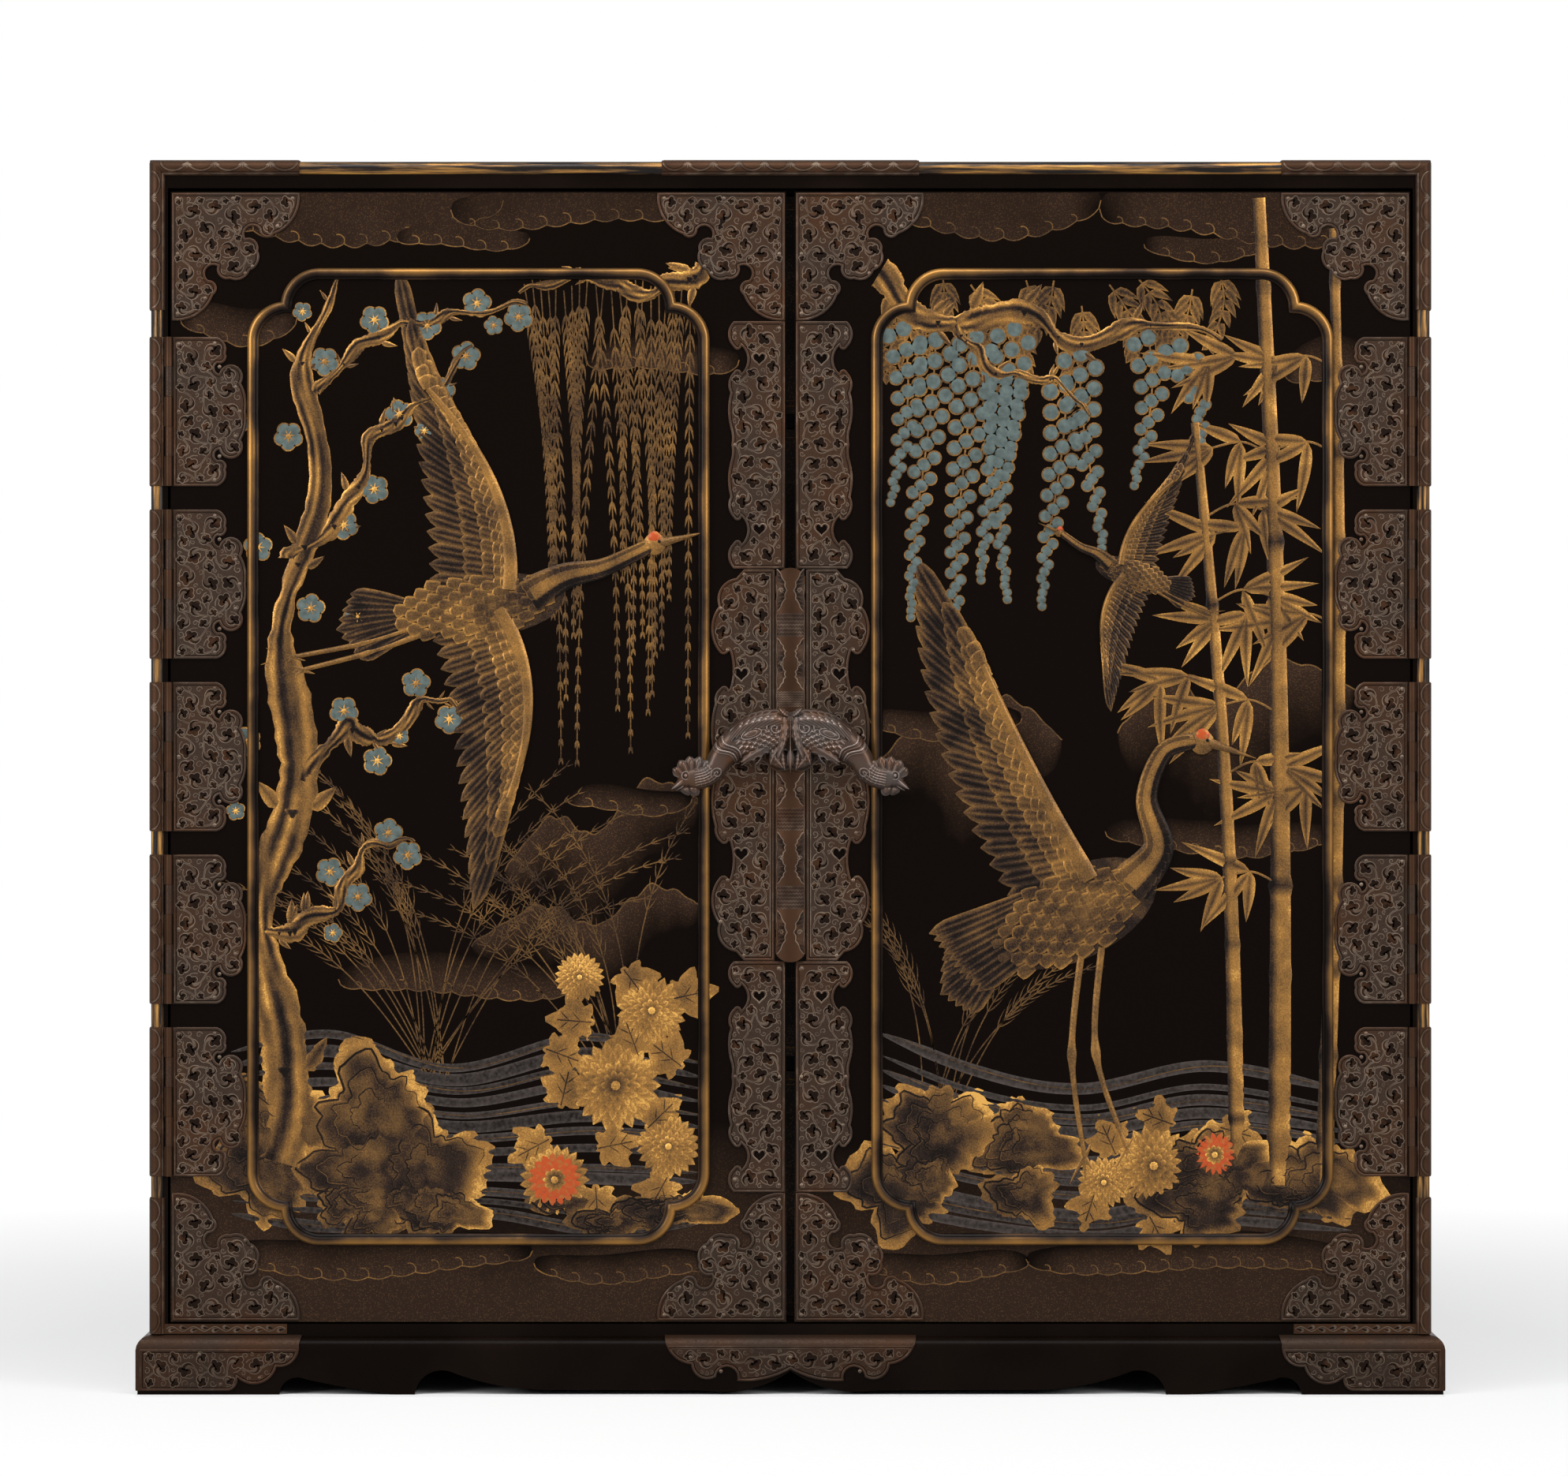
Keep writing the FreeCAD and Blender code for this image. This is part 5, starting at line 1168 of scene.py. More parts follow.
def running_vine(long, tall):
    """Engraving along a narrow strip, as (grid, tone): a stem that waves like a sine, with a leaf in each
    bay, dark within a light line."""
    count = max(round(long / 7.5), 2)
    pitch = long / count
    along = np.linspace(0, long, 12 * count)
    wave = tall / 2 + 0.24 * tall * np.sin(np.pi * along / pitch)
    bay = np.arange(count)
    way = np.where(bay % 2, 1, -1)
    root = np.stack([pitch * (bay + 0.2), tall / 2 + 0.02 * tall * way], -1)
    found = [(ribbons(np.stack([along, wave], -1), 0.55, 0.0, 0.03, 2), 0.82)]
    for share, lift, tone in ((1.0, 0.04, 0.8), (0.66, 0.07, 0.02)):
        reach, wide = 0.66 * pitch * share, 0.44 * tall * share
        found.append((blades(root, 0.3 * way, reach, wide, 0.0, plume, 0.0, lift, 6, 3), tone))
    return found


def clad_walls(piece, work, wall, front, foot=0.0, deep=1.0, tall=1.0):
    """Puts work of (back, up, height) on both side walls, from a front line and a foot, stretched in depth
    and height."""
    for grid, tone in work:
        for side in (1, -1):
            placed = [side * (wall + grid[..., 2]), front + deep * grid[..., 0], foot + tall * grid[..., 1]]
            piece.add(np.stack(placed, -1), tone, (side, 0, 0))


class CABINET_OT_edges(bpy.types.Operator):
    """Scales on the mounts over the front edges, vines on the bottom strips and on the plinth mounts"""
    bl_idname = "cabinet.edges"
    bl_label = "Engraved edges"

    def execute(self, context):
        piece = Surface()
        half = LEAF_TALL / 2 - 0.25
        runs = [(middle - half, middle + half) for middle in hinge_middles("right_case_hinge_leaves")]
        foot = span("bottom_right_corner_mount")
        runs += [(foot[0][2], foot[1][2]), (CASE_TOP - 106.5, CASE_TOP - 6)]
        for low, high in runs:
            for grid, tone in scallops(low, high):
                for side in (1, -1):
                    piece.add(rolled(grid, side), tone)
        top = span("top_centre_mount")
        for low, high in ((top[0][0], top[1][0]), (-455, -354.5), (354.5, 455)):
            for grid, tone in scallops(low, high):
                piece.add(rolled(grid, 0), tone)

        # The strips beside the bottom corners are 1 mm thick.
        strip, thick = foot[0][0] + 1, 1.0
        for grid, tone in running_vine(CASE_SIDE - 11 - strip, 7.0):
            for side in (1, -1):
                placed = grid * (side, 1, 1) + (side * strip, foot[0][2], 0)
                piece.add(on_front(placed, thick), tone)
        face = FRONT - span("plinth_centre_mount")[0][1]
        corner = trimmed(traced(PLINTH_CORNER, PLINTH_ARM, PLINTH_TALL))
        half = traced(PLINTH_CENTRE, PLINTH_HALF, PLINTH_TALL)
        centre = trimmed(np.concatenate([half, (half * (-1, 1))[::-1]]))
        work = engraved(corner, [(6, 29), (60, 7.5), (88, 12), (108, 27), (45, 29)])
        for grid, tone in work:
            for side in (1, -1):
                piece.add(on_front(grid * (-side, 1, 1) + (side * (CASE_SIDE + 9), 0, 0), face), tone)
        for grid, tone in engraved(centre, [(-72, 27), (72, 27), (-50, 17), (50, 17), (0, 27)]):
            piece.add(on_front(grid, face), tone)
        clad_walls(piece, work, span("plinth_right_corner_mount")[1][0], FRONT - face)
        piece.make("edge_engraving", "case", material(graven_copper), "engraved_copper")
        return {"FINISHED"}


class CABINET_OT_flanks(bpy.types.Operator):
    """Scrolling vines on the plates that the hinges and corner mounts spread over the sides and the top"""
    bl_idname = "cabinet.flanks"
    bl_label = "Engraved flanks"

    def execute(self, context):
        piece = Surface()
        kinds = plate_patterns()
        leaves = "right_case_hinge_leaves"
        wall, head = span(leaves)[1][0], span("top_centre_mount")[1][2]
        foot = span("bottom_right_corner_mount")[0][2]
        for middle in hinge_middles(leaves):
            clad_walls(piece, kinds["leaf"], wall, FRONT, middle - LEAF_TALL / 2, 56 / LEAF_WIDE)
        low, high = 98 / CORNER_WIDE, 107 / CORNER_WIDE
        clad_walls(piece, kinds["corner"], wall, FRONT, foot, low, low)
        clad_walls(piece, kinds["corner"], wall, FRONT, CASE_TOP, high, -high)
        for grid, tone in kinds["corner"]:
            for side in (1, -1):
                across = side * (wall - 108 / CORNER_WIDE * grid[..., 0])
                placed = np.stack([across, FRONT + high * grid[..., 1], head + grid[..., 2]], -1)
                piece.add(placed, tone, (0, 0, 1))
        for grid, tone in kinds["leaf"]:
            across = 185.5 * (grid[..., 1] / LEAF_TALL - 0.5)
            placed = np.stack([across, FRONT + 48 / LEAF_WIDE * grid[..., 0], head + grid[..., 2]], -1)
            piece.add(placed, tone, (0, 0, 1))
        piece.make("flank_engraving", "case", material(graven_copper), "engraved_copper")
        return {"FINISHED"}


# Pictures in raised gold on the doors

class Picture:
    """Raised work on one face of a body, gathered by material: its ground lies at depth along Y and faces the
    front, or the back for the inside of a door. On the doors it is low enough to pass under the plates. Grass
    keeps between its sides."""

    def __init__(self, name, body, depth, sides, facing=-1, seed=1):
        self.name, self.body, self.depth, self.sides, self.facing = name, body, depth, sides, facing
        self.layers = {}
        self.chance = np.random.default_rng(seed)

    def add(self, grid, tone, recipe=strewn_gold):
        """Adds (across, up, height) on the face."""
        placed = np.stack([grid[..., 0], self.depth + self.facing * grid[..., 2], grid[..., 1]], -1)
        self.layers.setdefault(recipe, Surface()).add(placed, tone, (0, self.facing, 0))

    def make(self):
        """Makes one piece of each material."""
        for recipe, surface in self.layers.items():
            slot = "gilt_lacquer" if recipe in (strewn_gold, shell_inlay, red_lacquer) else "door_lacquer"
            surface.make(f"{self.name}_{recipe.__name__}", self.body, material(recipe), slot)

    def border(self, low, high, margin):
        """Two gold lines round a rectangle."""
        for inset_by, width in ((margin, 1.4), (margin + 3.5, 0.6)):
            (left, down), (right, up) = np.array(low) + inset_by, np.array(high) - inset_by
            ring = [(left, down), (right, down), (right, up), (left, up), (left, down), (right, down)]
            self.add(ribbons(np.array(ring, float), width, 0.15, 0.04, 3)[:, :5], 0.6)


def moved(grid, spot, turn=0.0, scale=1.0, flip=1):
    """A grid mirrored by flip, scaled, turned and carried to a spot."""
    across, up = grid[..., 0] * flip * scale, grid[..., 1] * scale
    return np.stack([spot[0] + across * np.cos(turn) - up * np.sin(turn),
                     spot[1] + across * np.sin(turn) + up * np.cos(turn), grid[..., 2]], -1)


def lance(u):
    """Outline of a narrow leaf: widest at a third of its length, pointed."""
    return np.clip(np.sin(np.pi * u ** 0.62), 0, 1) ** 0.9


def petal(u):
    """Outline of a petal: narrow foot, broad round tip."""
    return np.clip(np.sin(np.pi * (0.06 + 0.94 * u ** 1.25)), 0, 1) ** 0.7


def banded(rows, columns, edge, core, tip, shaft=None):
    """Tones of a feather: bright fringe, dark core, bright tip, and a shaft line."""
    u, v = np.linspace(0, 1, rows)[:, None], np.abs(np.linspace(-1, 1, columns))[None]
    tone = core + (edge - core) * swell(0.45, 0.85, v)
    tone = tone + (tip - tone) * swell(0.86, 0.97, u)
    if shaft is not None:
        tone = np.where(v < 0.08, shaft, tone)
    return tone


def mist(picture, middle, wide, tall, lift=0.1, foot=1.0, top=0.05):
    """Band of mist: sprinkled brown, from one density at its foot to another at its top. Its half height
    falls to round ends, its upper edge stops at the top of the door, its lower edge is scalloped, and a thin
    gold line follows the scallops and hooks into the band where they meet."""
    across = np.linspace(-1, 1, 121)
    ends = np.sqrt(1 - across ** 2) ** 0.7
    count = max(round(wide / 17), 3)
    scallop = np.abs(np.sin(np.pi * count * (across + 1) / 2))
    sway = 0.14 * tall * np.sin(3.1 * across + middle[0])
    lower = middle[1] + sway - tall / 2 * ends * (0.86 + 0.14 * scallop)
    upper = np.minimum(middle[1] + sway + tall / 2 * ends, DOOR_HIGH[2] - 0.8)
    x = middle[0] + wide / 2 * across
    share = np.linspace(0, 1, 7)[:, None]
    grid = np.stack(np.broadcast_arrays(x, lower + (upper - lower) * share, lift), -1)
    density = foot + (top - foot) * share ** 1.5
    picture.add(grid, density * np.minimum(1, 4 * (1 - np.abs(across))), drifting_mist)
    picture.add(ribbons(np.stack([x, lower], -1), 0.8, 0.08, lift + 0.02), 0.5)
    start = np.linspace(-1, 1, count + 1)[1:-1, None]
    turn = np.linspace(-0.5, 1.9, 8)
    size = 4.6 * np.interp(start, across, ends)
    hooks = np.stack([
        middle[0] + wide / 2 * start + size * (np.cos(turn) - 0.9),
        np.interp(start, across, lower) + size * (0.48 + np.sin(turn))], -1)
    picture.add(ribbons(hooks, 0.8, 0.08, lift + 0.04, 2), 0.5)


def wing(shoulder, elbow, tip, fan, count, reach):
    """Open wing: feather blades along a bent arm, their directions spread over fan, in overlapping rows,
    each shorter and higher than the last, as (grid, tone)."""
    def arm(share):
        """Points of the arm from the shoulder to the tip, bent at the elbow."""
        share = np.asarray(share)[:, None]
        return ((1 - share) ** 2 * np.array(shoulder) + 2 * share * (1 - share) * np.array(elbow)
                + share ** 2 * np.array(tip))

    found = []
    for length, wide, lift, tones in (
            (1.0, 1.0, 0.15, (0.66, 0.10, 0.5, 0.5)), (0.60, 0.95, 0.65, (0.74, 0.20, 0.66, 0.55)),
            (0.36, 0.92, 1.1, (0.8, 0.42, 0.84, 0.6)), (0.21, 0.9, 1.5, (0.86, 0.52, 0.9, None)),
            (0.12, 0.8, 1.8, (0.84, 0.6, 0.92, None))):
        share = np.linspace(0.03, 1, count)
        turn = fan[0] + (fan[1] - fan[0]) * share ** 1.15
        reaches = length * (reach[0] + (reach[1] - reach[0]) * share ** 1.3)
        run = np.maximum(np.linalg.norm(np.array(tip) - shoulder) * 1.55 / count, 8.0)
        row = blades(arm(share), turn, reaches, run * wide, 0.8, plume, -0.06, lift, 13, 7)
        found.append((row, banded(13, 7, *tones)))
    leading = arm(np.linspace(0, 1, 40))
    found.append((ribbons(leading, np.linspace(13, 5, 40), 1.6, 1.6, 7, 0.6), 0.72))
    return found


def plumage(middle, wide, tall, facing, size):
    """Scale feathers over an ellipse, rows offset, tips along facing, as (grid, tone)."""
    rows = np.arange(-1, 1.001, 1.25 * size / wide)
    columns = np.arange(-1, 1.001, 1.5 * size / tall)
    along, across = np.meshgrid(rows, columns, indexing="ij")
    across = across + (np.arange(len(rows)) % 2)[:, None] * 0.75 * size / tall
    inside = along ** 2 + across ** 2 < 0.92
    along, across = along[inside], across[inside]
    ahead = unit(facing)
    spots = np.array(middle) + along[:, None] * wide * ahead
    spots = spots + across[:, None] * tall * np.array([-ahead[1], ahead[0]])
    dome = 2.0 * np.sqrt(np.clip(1 - along ** 2 - across ** 2, 0, 1))
    scales = blades(spots, facing, 1.9 * size, 1.5 * size, 0.6, plume, 0.0, dome + 0.25, 7, 5)
    return scales, banded(7, 5, 0.84, 0.46, 0.88)


def crane(picture, pose, strength, *place):
    """A crane, head towards +X until it is placed; strength is that of its gold. Flying: neck and legs
    stretched, wings up and down. Standing: neck in an S, one wing lifted, legs on the ground."""
    def lay(grid, tone, recipe=strewn_gold):
        """Adds work to the picture where the crane stands."""
        picture.add(moved(grid, *place), strength * np.asarray(tone), recipe)

    flying = pose == "flying"
    if flying:
        parts = wing((22, 12), (40, 92), (-22, 176), (3.05, 1.75), 19, (62, 96))
        parts += wing((12, -2), (46, -70), (2, -150), (3.25, 4.35), 18, (58, 92))
        neck = smooth([(40, 6, 30), (66, 17, 21), (96, 20, 15), (122, 28, 13), (136, 33, 12)], 50)
        head, beak_turn, toes_turn = (140, 34), 0.12, 3.2
        tail, tail_turn = (-58, 0), np.pi
        body = ((0, 2), 66, 25, np.pi)
        legs = [[(-52, -8), (-96, -16), (-152, -20)], [(-48, -14), (-94, -24), (-146, -31)]]
    else:
        parts = wing((10, 24), (-30, 92), (-66, 176), (3.5, 2.2), 18, (58, 88))
        neck = smooth([(38, 20, 32), (58, 46, 22), (50, 82, 15), (62, 114, 13), (84, 122, 12)], 60)
        head, beak_turn, toes_turn = (89, 121), -0.32, -1.57
        tail, tail_turn = (-50, -22), 3.75
        body = ((0, 0), 62, 32, 3.60)
        legs = [[(4, -26), (-3, -100), (6, -172)], [(18, -24), (14, -98), (36, -166)]]
    hind = np.linspace(-0.42, 0.42, 9)
    roots = tail + np.stack([0 * hind, 26 * hind], -1)
    lay(blades(roots, tail_turn - hind * 0.8, 58 - 30 * np.abs(hind), 12, 0.9, plume, 0.05, 0.2, 11, 7),
        banded(11, 7, 0.7, 0.08, 0.55, 0.45))
    if not flying:
        drop = np.linspace(-0.5, 0.5, 10)
        roots = np.stack([-24 - 22 * drop, 2 + 22 * drop], -1)
        lay(blades(roots, 3.72 - 0.3 * drop, 74, 12, 0.9, plume, -0.05, 0.9, 12, 7),
            banded(12, 7, 0.72, 0.12, 0.6, 0.5))
    for grid, tone in parts:
        lay(grid, tone)
    turn = np.linspace(0, TURN, 41)
    middle, long, wide, facing = body
    rim = long * wide / np.hypot(wide * np.cos(turn - facing), long * np.sin(turn - facing))
    lay(mounds([middle], rim, 2.4, 7, 2.0, 0.1), np.linspace(0.3, 0.62, 8)[:, None])
    lay(*plumage(*body, 7.0))
    across = np.linspace(-1, 1, 9)
    tone = np.where(across < -0.3, 0.14, 0.74 - 0.2 * np.abs(across))
    lay(ribbons(neck[:, :2], neck[:, 2], 2.6, 0.6, 9, 0.6), tone)
    step = np.arange(2, len(neck) - 3, 2)
    facing = heading(np.gradient(neck[:, :2], axis=0)[step])
    for shift, edge, core in ((-0.55, 0.35, 0.12), (0.0, 0.82, 0.44), (0.55, 0.82, 0.44)):
        spots = neck[step, :2] + shift * 0.5 * neck[step, 2:] * unit(facing + np.pi / 2)
        lay(blades(spots, facing + np.pi, 7.0, 0.36 * neck[step, 2], 0.35, plume, 0, 2.7, 6, 5),
            banded(6, 5, edge, core, 0.85))
    across, up = head
    ring = np.ones(41)
    lay(mounds([head], 8.6 * ring, 2.6, 5, 2.0, 1.0), 0.68)
    lay(blades([(across + 4, up)], beak_turn, 36, 7.5, 2.0, lambda u: 1 - 0.93 * u, 0, 1.2, 8, 5), 0.6)
    lay(mounds([(across + 0.5, up + 5.0)], 4.8 * ring, 1.2, 4, 2.0, 2.6), 0.5, red_lacquer)
    lay(mounds([(across + 3.6, up + 1.2)], 1.5 * ring, 0.5, 2, 2.0, 3.0), 0.0)
    share = np.linspace(0, 1, 40)
    joint = np.exp(-((share - 0.5) / 0.045) ** 2)
    for leg in legs:
        lay(ribbons(smooth(leg, 40), 5.0 - 1.6 * share + 2.6 * joint, 1.3, 0.15, 5), 0.7)
    spread = toes_turn + np.array([-0.55, 0.0, 0.55, 2.6])
    for leg in legs:
        roots = np.tile(leg[-1], (4, 1))
        lay(blades(roots, spread, (22, 26, 22, 10), 4.0, 0.9, lambda u: 1 - 0.85 * u, 0.06, 0.2, 7, 5), 0.7)


def bamboo(picture, foot, head, width, leaves):
    """Bamboo: a leaning stem with raised joints every 62 mm, and sprays of narrow leaves at the joints."""
    foot, head = np.array(foot, float), np.array(head, float)
    share = np.linspace(0, 1, 90)
    path = foot + (head - foot) * share[:, None]
    path[:, 0] += 7 * np.sin(np.pi * share)
    width = width * (1 - 0.45 * share)
    tall = np.linalg.norm(head - foot)
    joint = np.arange(30, tall - 10, 62) / tall
    swollen = np.exp(-((share[:, None] - joint) * tall / 2.2) ** 2).sum(1)
    across = np.linspace(-1, 1, 9)
    tone = 0.72 - 0.5 * swell(0.1, 1.0, across) + 0 * share[:, None]
    tone = tone - 0.4 * np.exp(-((share[:, None, None] - joint) * tall / 1.6) ** 2).sum(-1)
    picture.add(ribbons(path, width * (1 + 0.25 * swollen), 0.95, 0.05, 9, 0.5), tone)
    spots = np.stack([np.interp(joint, share, path[:, axis]) for axis in (0, 1)], -1)
    for spot in spots[leaves]:
        side = -1 if spot[0] > 340 else picture.chance.choice((-1, 1))
        stalk = smooth([spot, spot + (side * 20, 10), spot + (side * 42, 6)], 14)
        picture.add(ribbons(stalk, 1.6, 0.4, 0.3), 0.62)
        count = 7
        roots = np.concatenate([stalk[-1:].repeat(4, 0), stalk[7:8].repeat(3, 0)])
        middle = -0.55 if side > 0 else np.pi + 0.55
        turn = middle + np.linspace(-0.95, 0.95, count)[picture.chance.permutation(count)]
        reach = picture.chance.uniform(34, 58, count)
        bend = picture.chance.uniform(-0.1, 0.1, count)
        spray = blades(roots, turn, reach, 9.0, 0.45, lance, bend, 0.45, 10, 5)
        picture.add(spray, np.array([0.78, 0.66, 0.4, 0.74, 0.82]))


def bough(picture, points, seed):
    """Gnarled bough: a path whose width swells and shrinks, bright along its ragged edges and dark in its
    hollows, with hollow knots and short spurs along it."""
    chance = np.random.default_rng(int(seed * 10))
    line = smooth(points, 130)
    share = np.linspace(0, 1, 130)
    knot = 1 + 0.26 * np.sin(19 * share + seed) + 0.16 * np.sin(43 * share + 2 * seed)
    knot = knot + chance.uniform(-0.12, 0.12, 130)
    across = np.linspace(-1, 1, 13)
    hollow = 0.5 + 0.5 * np.sin(15 * share[:, None] + 5 * across + seed)
    grain = 0.16 * np.sin(9 * across + 6 * np.sin(11 * share[:, None] + seed))
    tone = 0.7 - 0.5 * hollow * swell(0.98, 0.35, np.abs(across)) + grain
    thin = np.minimum(1, line[:, 2] / 14)
    sway = np.stack([3.2 * np.sin(29 * share + seed) * thin, 2.2 * np.cos(27 * share)], -1)
    path, width = line[:, :2] + sway, line[:, 2] * knot
    picture.add(ribbons(path, width, 0.95, 0.04, 13, 0.5), tone)
    rows = chance.integers(8, 118, 9)
    side = chance.choice((-1, 1), 9)
    broad = width[rows]
    facing = heading(np.gradient(path, axis=0)[rows])
    edge = path[rows] + 0.4 * (side * broad)[:, None] * unit(facing + np.pi / 2)
    spurs = blades(edge, facing + 0.8 * side, 4 + 0.8 * broad, 0.42 * broad, 0.7, lance, 0.15, 0.1, 7, 5)
    picture.add(spurs, np.array([0.8, 0.6, 0.4, 0.6, 0.8]))
    for row in rows[::2]:
        rim = 0.26 * width[row] * (1 + 0.2 * np.sin(3 * np.linspace(0, TURN, 25)))
        picture.add(mounds([path[row]], rim, 0.3, 3, 2.0, 0.75), np.array([0.9, 0.5, 0.06, 0.04])[:, None])


def grasses(picture, foot, count, tall, lean):
    """Plume grass: thin stalks that fan out from a foot and bow over, with fine barbs along their heads."""
    chance = picture.chance
    share = np.linspace(0, 1, 24)
    turn = np.pi / 2 + lean + np.linspace(-0.55, 0.55, count) + chance.uniform(-0.08, 0.08, count)
    reach = tall * chance.uniform(0.7, 1.0, count)
    bow = np.sign(np.cos(turn))[:, None] * 0.30 * share ** 2
    path = np.array(foot) + (reach[:, None] * share)[..., None] * unit(turn[:, None] - bow)
    path[..., 0] += chance.uniform(-10, 10, count)[:, None]
    left, right = picture.sides
    path = path[((path[..., 0] > left) & (path[..., 0] < right)).all(1)]
    picture.add(ribbons(path, 0.9, 0.15, 0.14, 2), 0.46)
    barbed(picture, path, 12, 15, 0.9, 0.44)


def barbed(picture, path, first, reach, width, tone, spread=0.55):
    """Barbs or leaflets in pairs along paths, from a row of their points onwards, shorter to the tips."""
    rows = np.arange(first, path.shape[1])
    facing = heading(np.gradient(path, axis=1)[:, rows]).ravel()
    length = np.tile(np.linspace(reach, 0.4 * reach, len(rows)), len(path))
    roots = path[:, rows].reshape(-1, 2)
    for side in (-spread, spread):
        picture.add(blades(roots, facing + side, length, width, 0.1, lance, -0.4 * side, 0.15, 5, 3), tone)


def willow(picture, roots, tall):
    """Hanging willow: thin strands that bow out from their roots and fall, with narrow leaves in pairs."""
    roots = np.asarray(roots, float)
    share = np.linspace(0, 1, 26)
    fall = tall * picture.chance.uniform(0.5, 1.0, len(roots))[:, None]
    drift = picture.chance.uniform(-22, 22, len(roots))[:, None]
    path = roots[:, None] + np.stack([drift * np.sin(1.6 * share), -fall * share], -1)
    picture.add(ribbons(path, 0.9, 0.15, 0.14, 2), 0.46)
    barbed(picture, path, 2, 15, 1.7, 0.5, 0.4)


def hills(picture, ridge, deep, lift):
    """Far hills: a ragged ridge through points, sprinkled brown that fades downwards under a gold line."""
    line = smooth(ridge, 90)
    share = np.linspace(0, 1, 90)
    crest = line[:, 1] + 2.6 * np.abs(np.sin(23 * share)) + 1.2 * np.sin(61 * share)
    ends = np.sin(np.pi * share) ** 0.6
    level = np.linspace(0, 1, 7)[:, None]
    grid = np.stack(np.broadcast_arrays(line[:, 0], crest - deep * ends * level, lift), -1)
    picture.add(grid, 1.1 * (1 - level) ** 1.2 * np.minimum(1, 3 * ends), drifting_mist)
    picture.add(ribbons(np.stack([line[:, 0], crest], -1), 1.0, 0.1, lift + 0.02, 2), 0.5)


def blossom(picture, spots, size):
    """Five-petalled blossoms in blue-grey inlay with gold rims, stamens and hearts."""
    spots = np.asarray(spots, float)
    start = picture.chance.uniform(0, TURN, len(spots))[:, None]
    turn = (start + TURN / 5 * np.arange(5)).ravel()
    middle = spots.repeat(5, 0) + 0.52 * size * unit(turn)
    ring = size * np.ones(15)
    picture.add(mounds(middle, 0.52 * ring, 0.0, 1, lift=0.42), 0.74)
    picture.add(mounds(middle, 0.42 * ring, 0.35, 3, 2.0, 0.46), 0.5, shell_inlay)
    rays = (start + np.linspace(0, TURN, 8)[:-1]).ravel()
    picture.add(blades(spots.repeat(7, 0), rays, 0.5 * size, 0.9, 0.2, lance, 0, 0.85, 4, 3), 0.85)
    picture.add(mounds(spots, 0.17 * ring, 0.4, 2, 2.0, 0.85), 0.9)


def chrysanthemum(picture, spot, size, recipe=strewn_gold):
    """Chrysanthemum: rings of petals, each ring shorter, higher and turned by half a petal. The recipe is
    that of the two rings in the middle."""
    tone = np.linspace(0.4, 0.98, 8)[:, None] * np.array([0.8, 1.0, 0.88, 1.0, 0.8])
    rings = ((21, 1.0, 0.36, 0.3), (17, 0.76, 0.33, 0.65), (13, 0.52, 0.3, 1.0), (9, 0.3, 0.24, 1.3))
    for number, (count, length, wide, lift) in enumerate(rings):
        turn = TURN * (np.arange(count) + 0.5 * (number % 2)) / count
        roots = np.array(spot) + 0.06 * size * unit(turn)
        petals = blades(roots, turn, length * size, wide * size, 0.5, petal, 0.0, lift, 8, 5)
        picture.add(petals, tone, recipe if number in (1, 2) else strewn_gold)
    picture.add(mounds([spot], 0.13 * size * np.ones(15), 0.8, 3, 2.0, 1.4), 0.95)


def leafage(picture, spots, turns, size):
    """Lobed leaves: a rim of five lobes that grow towards the tip, gold, with veins left dark."""
    angle = np.linspace(0, TURN, 49)
    tone = 0.6 + 0.2 * np.linspace(1, 0, 5)[:, None]
    for spot, turn in zip(np.asarray(spots, float), turns):
        local = angle - turn
        lobes = 1 + 0.20 * np.cos(6 * local) + 0.06 * np.cos(13 * local)
        rim = size * (0.62 + 0.30 * np.cos(local)) * lobes
        picture.add(mounds([spot], rim, 0.5, 4, 2.0, 0.2), tone)
        vein = np.linspace(-0.35, 0.95, 8)[:, None] * size * 0.8
        picture.add(ribbons(spot + vein * unit(turn), 0.9, 0.12, 0.72, 3), 0.3)
        side = turn + np.array([-0.75, 0.75])
        for place in (0.05, 0.4):
            root = spot + place * size * unit(turn)
            picture.add(blades([root, root], side, 0.42 * size, 0.9, 0.1, lance, 0, 0.7, 4, 3), 0.3)


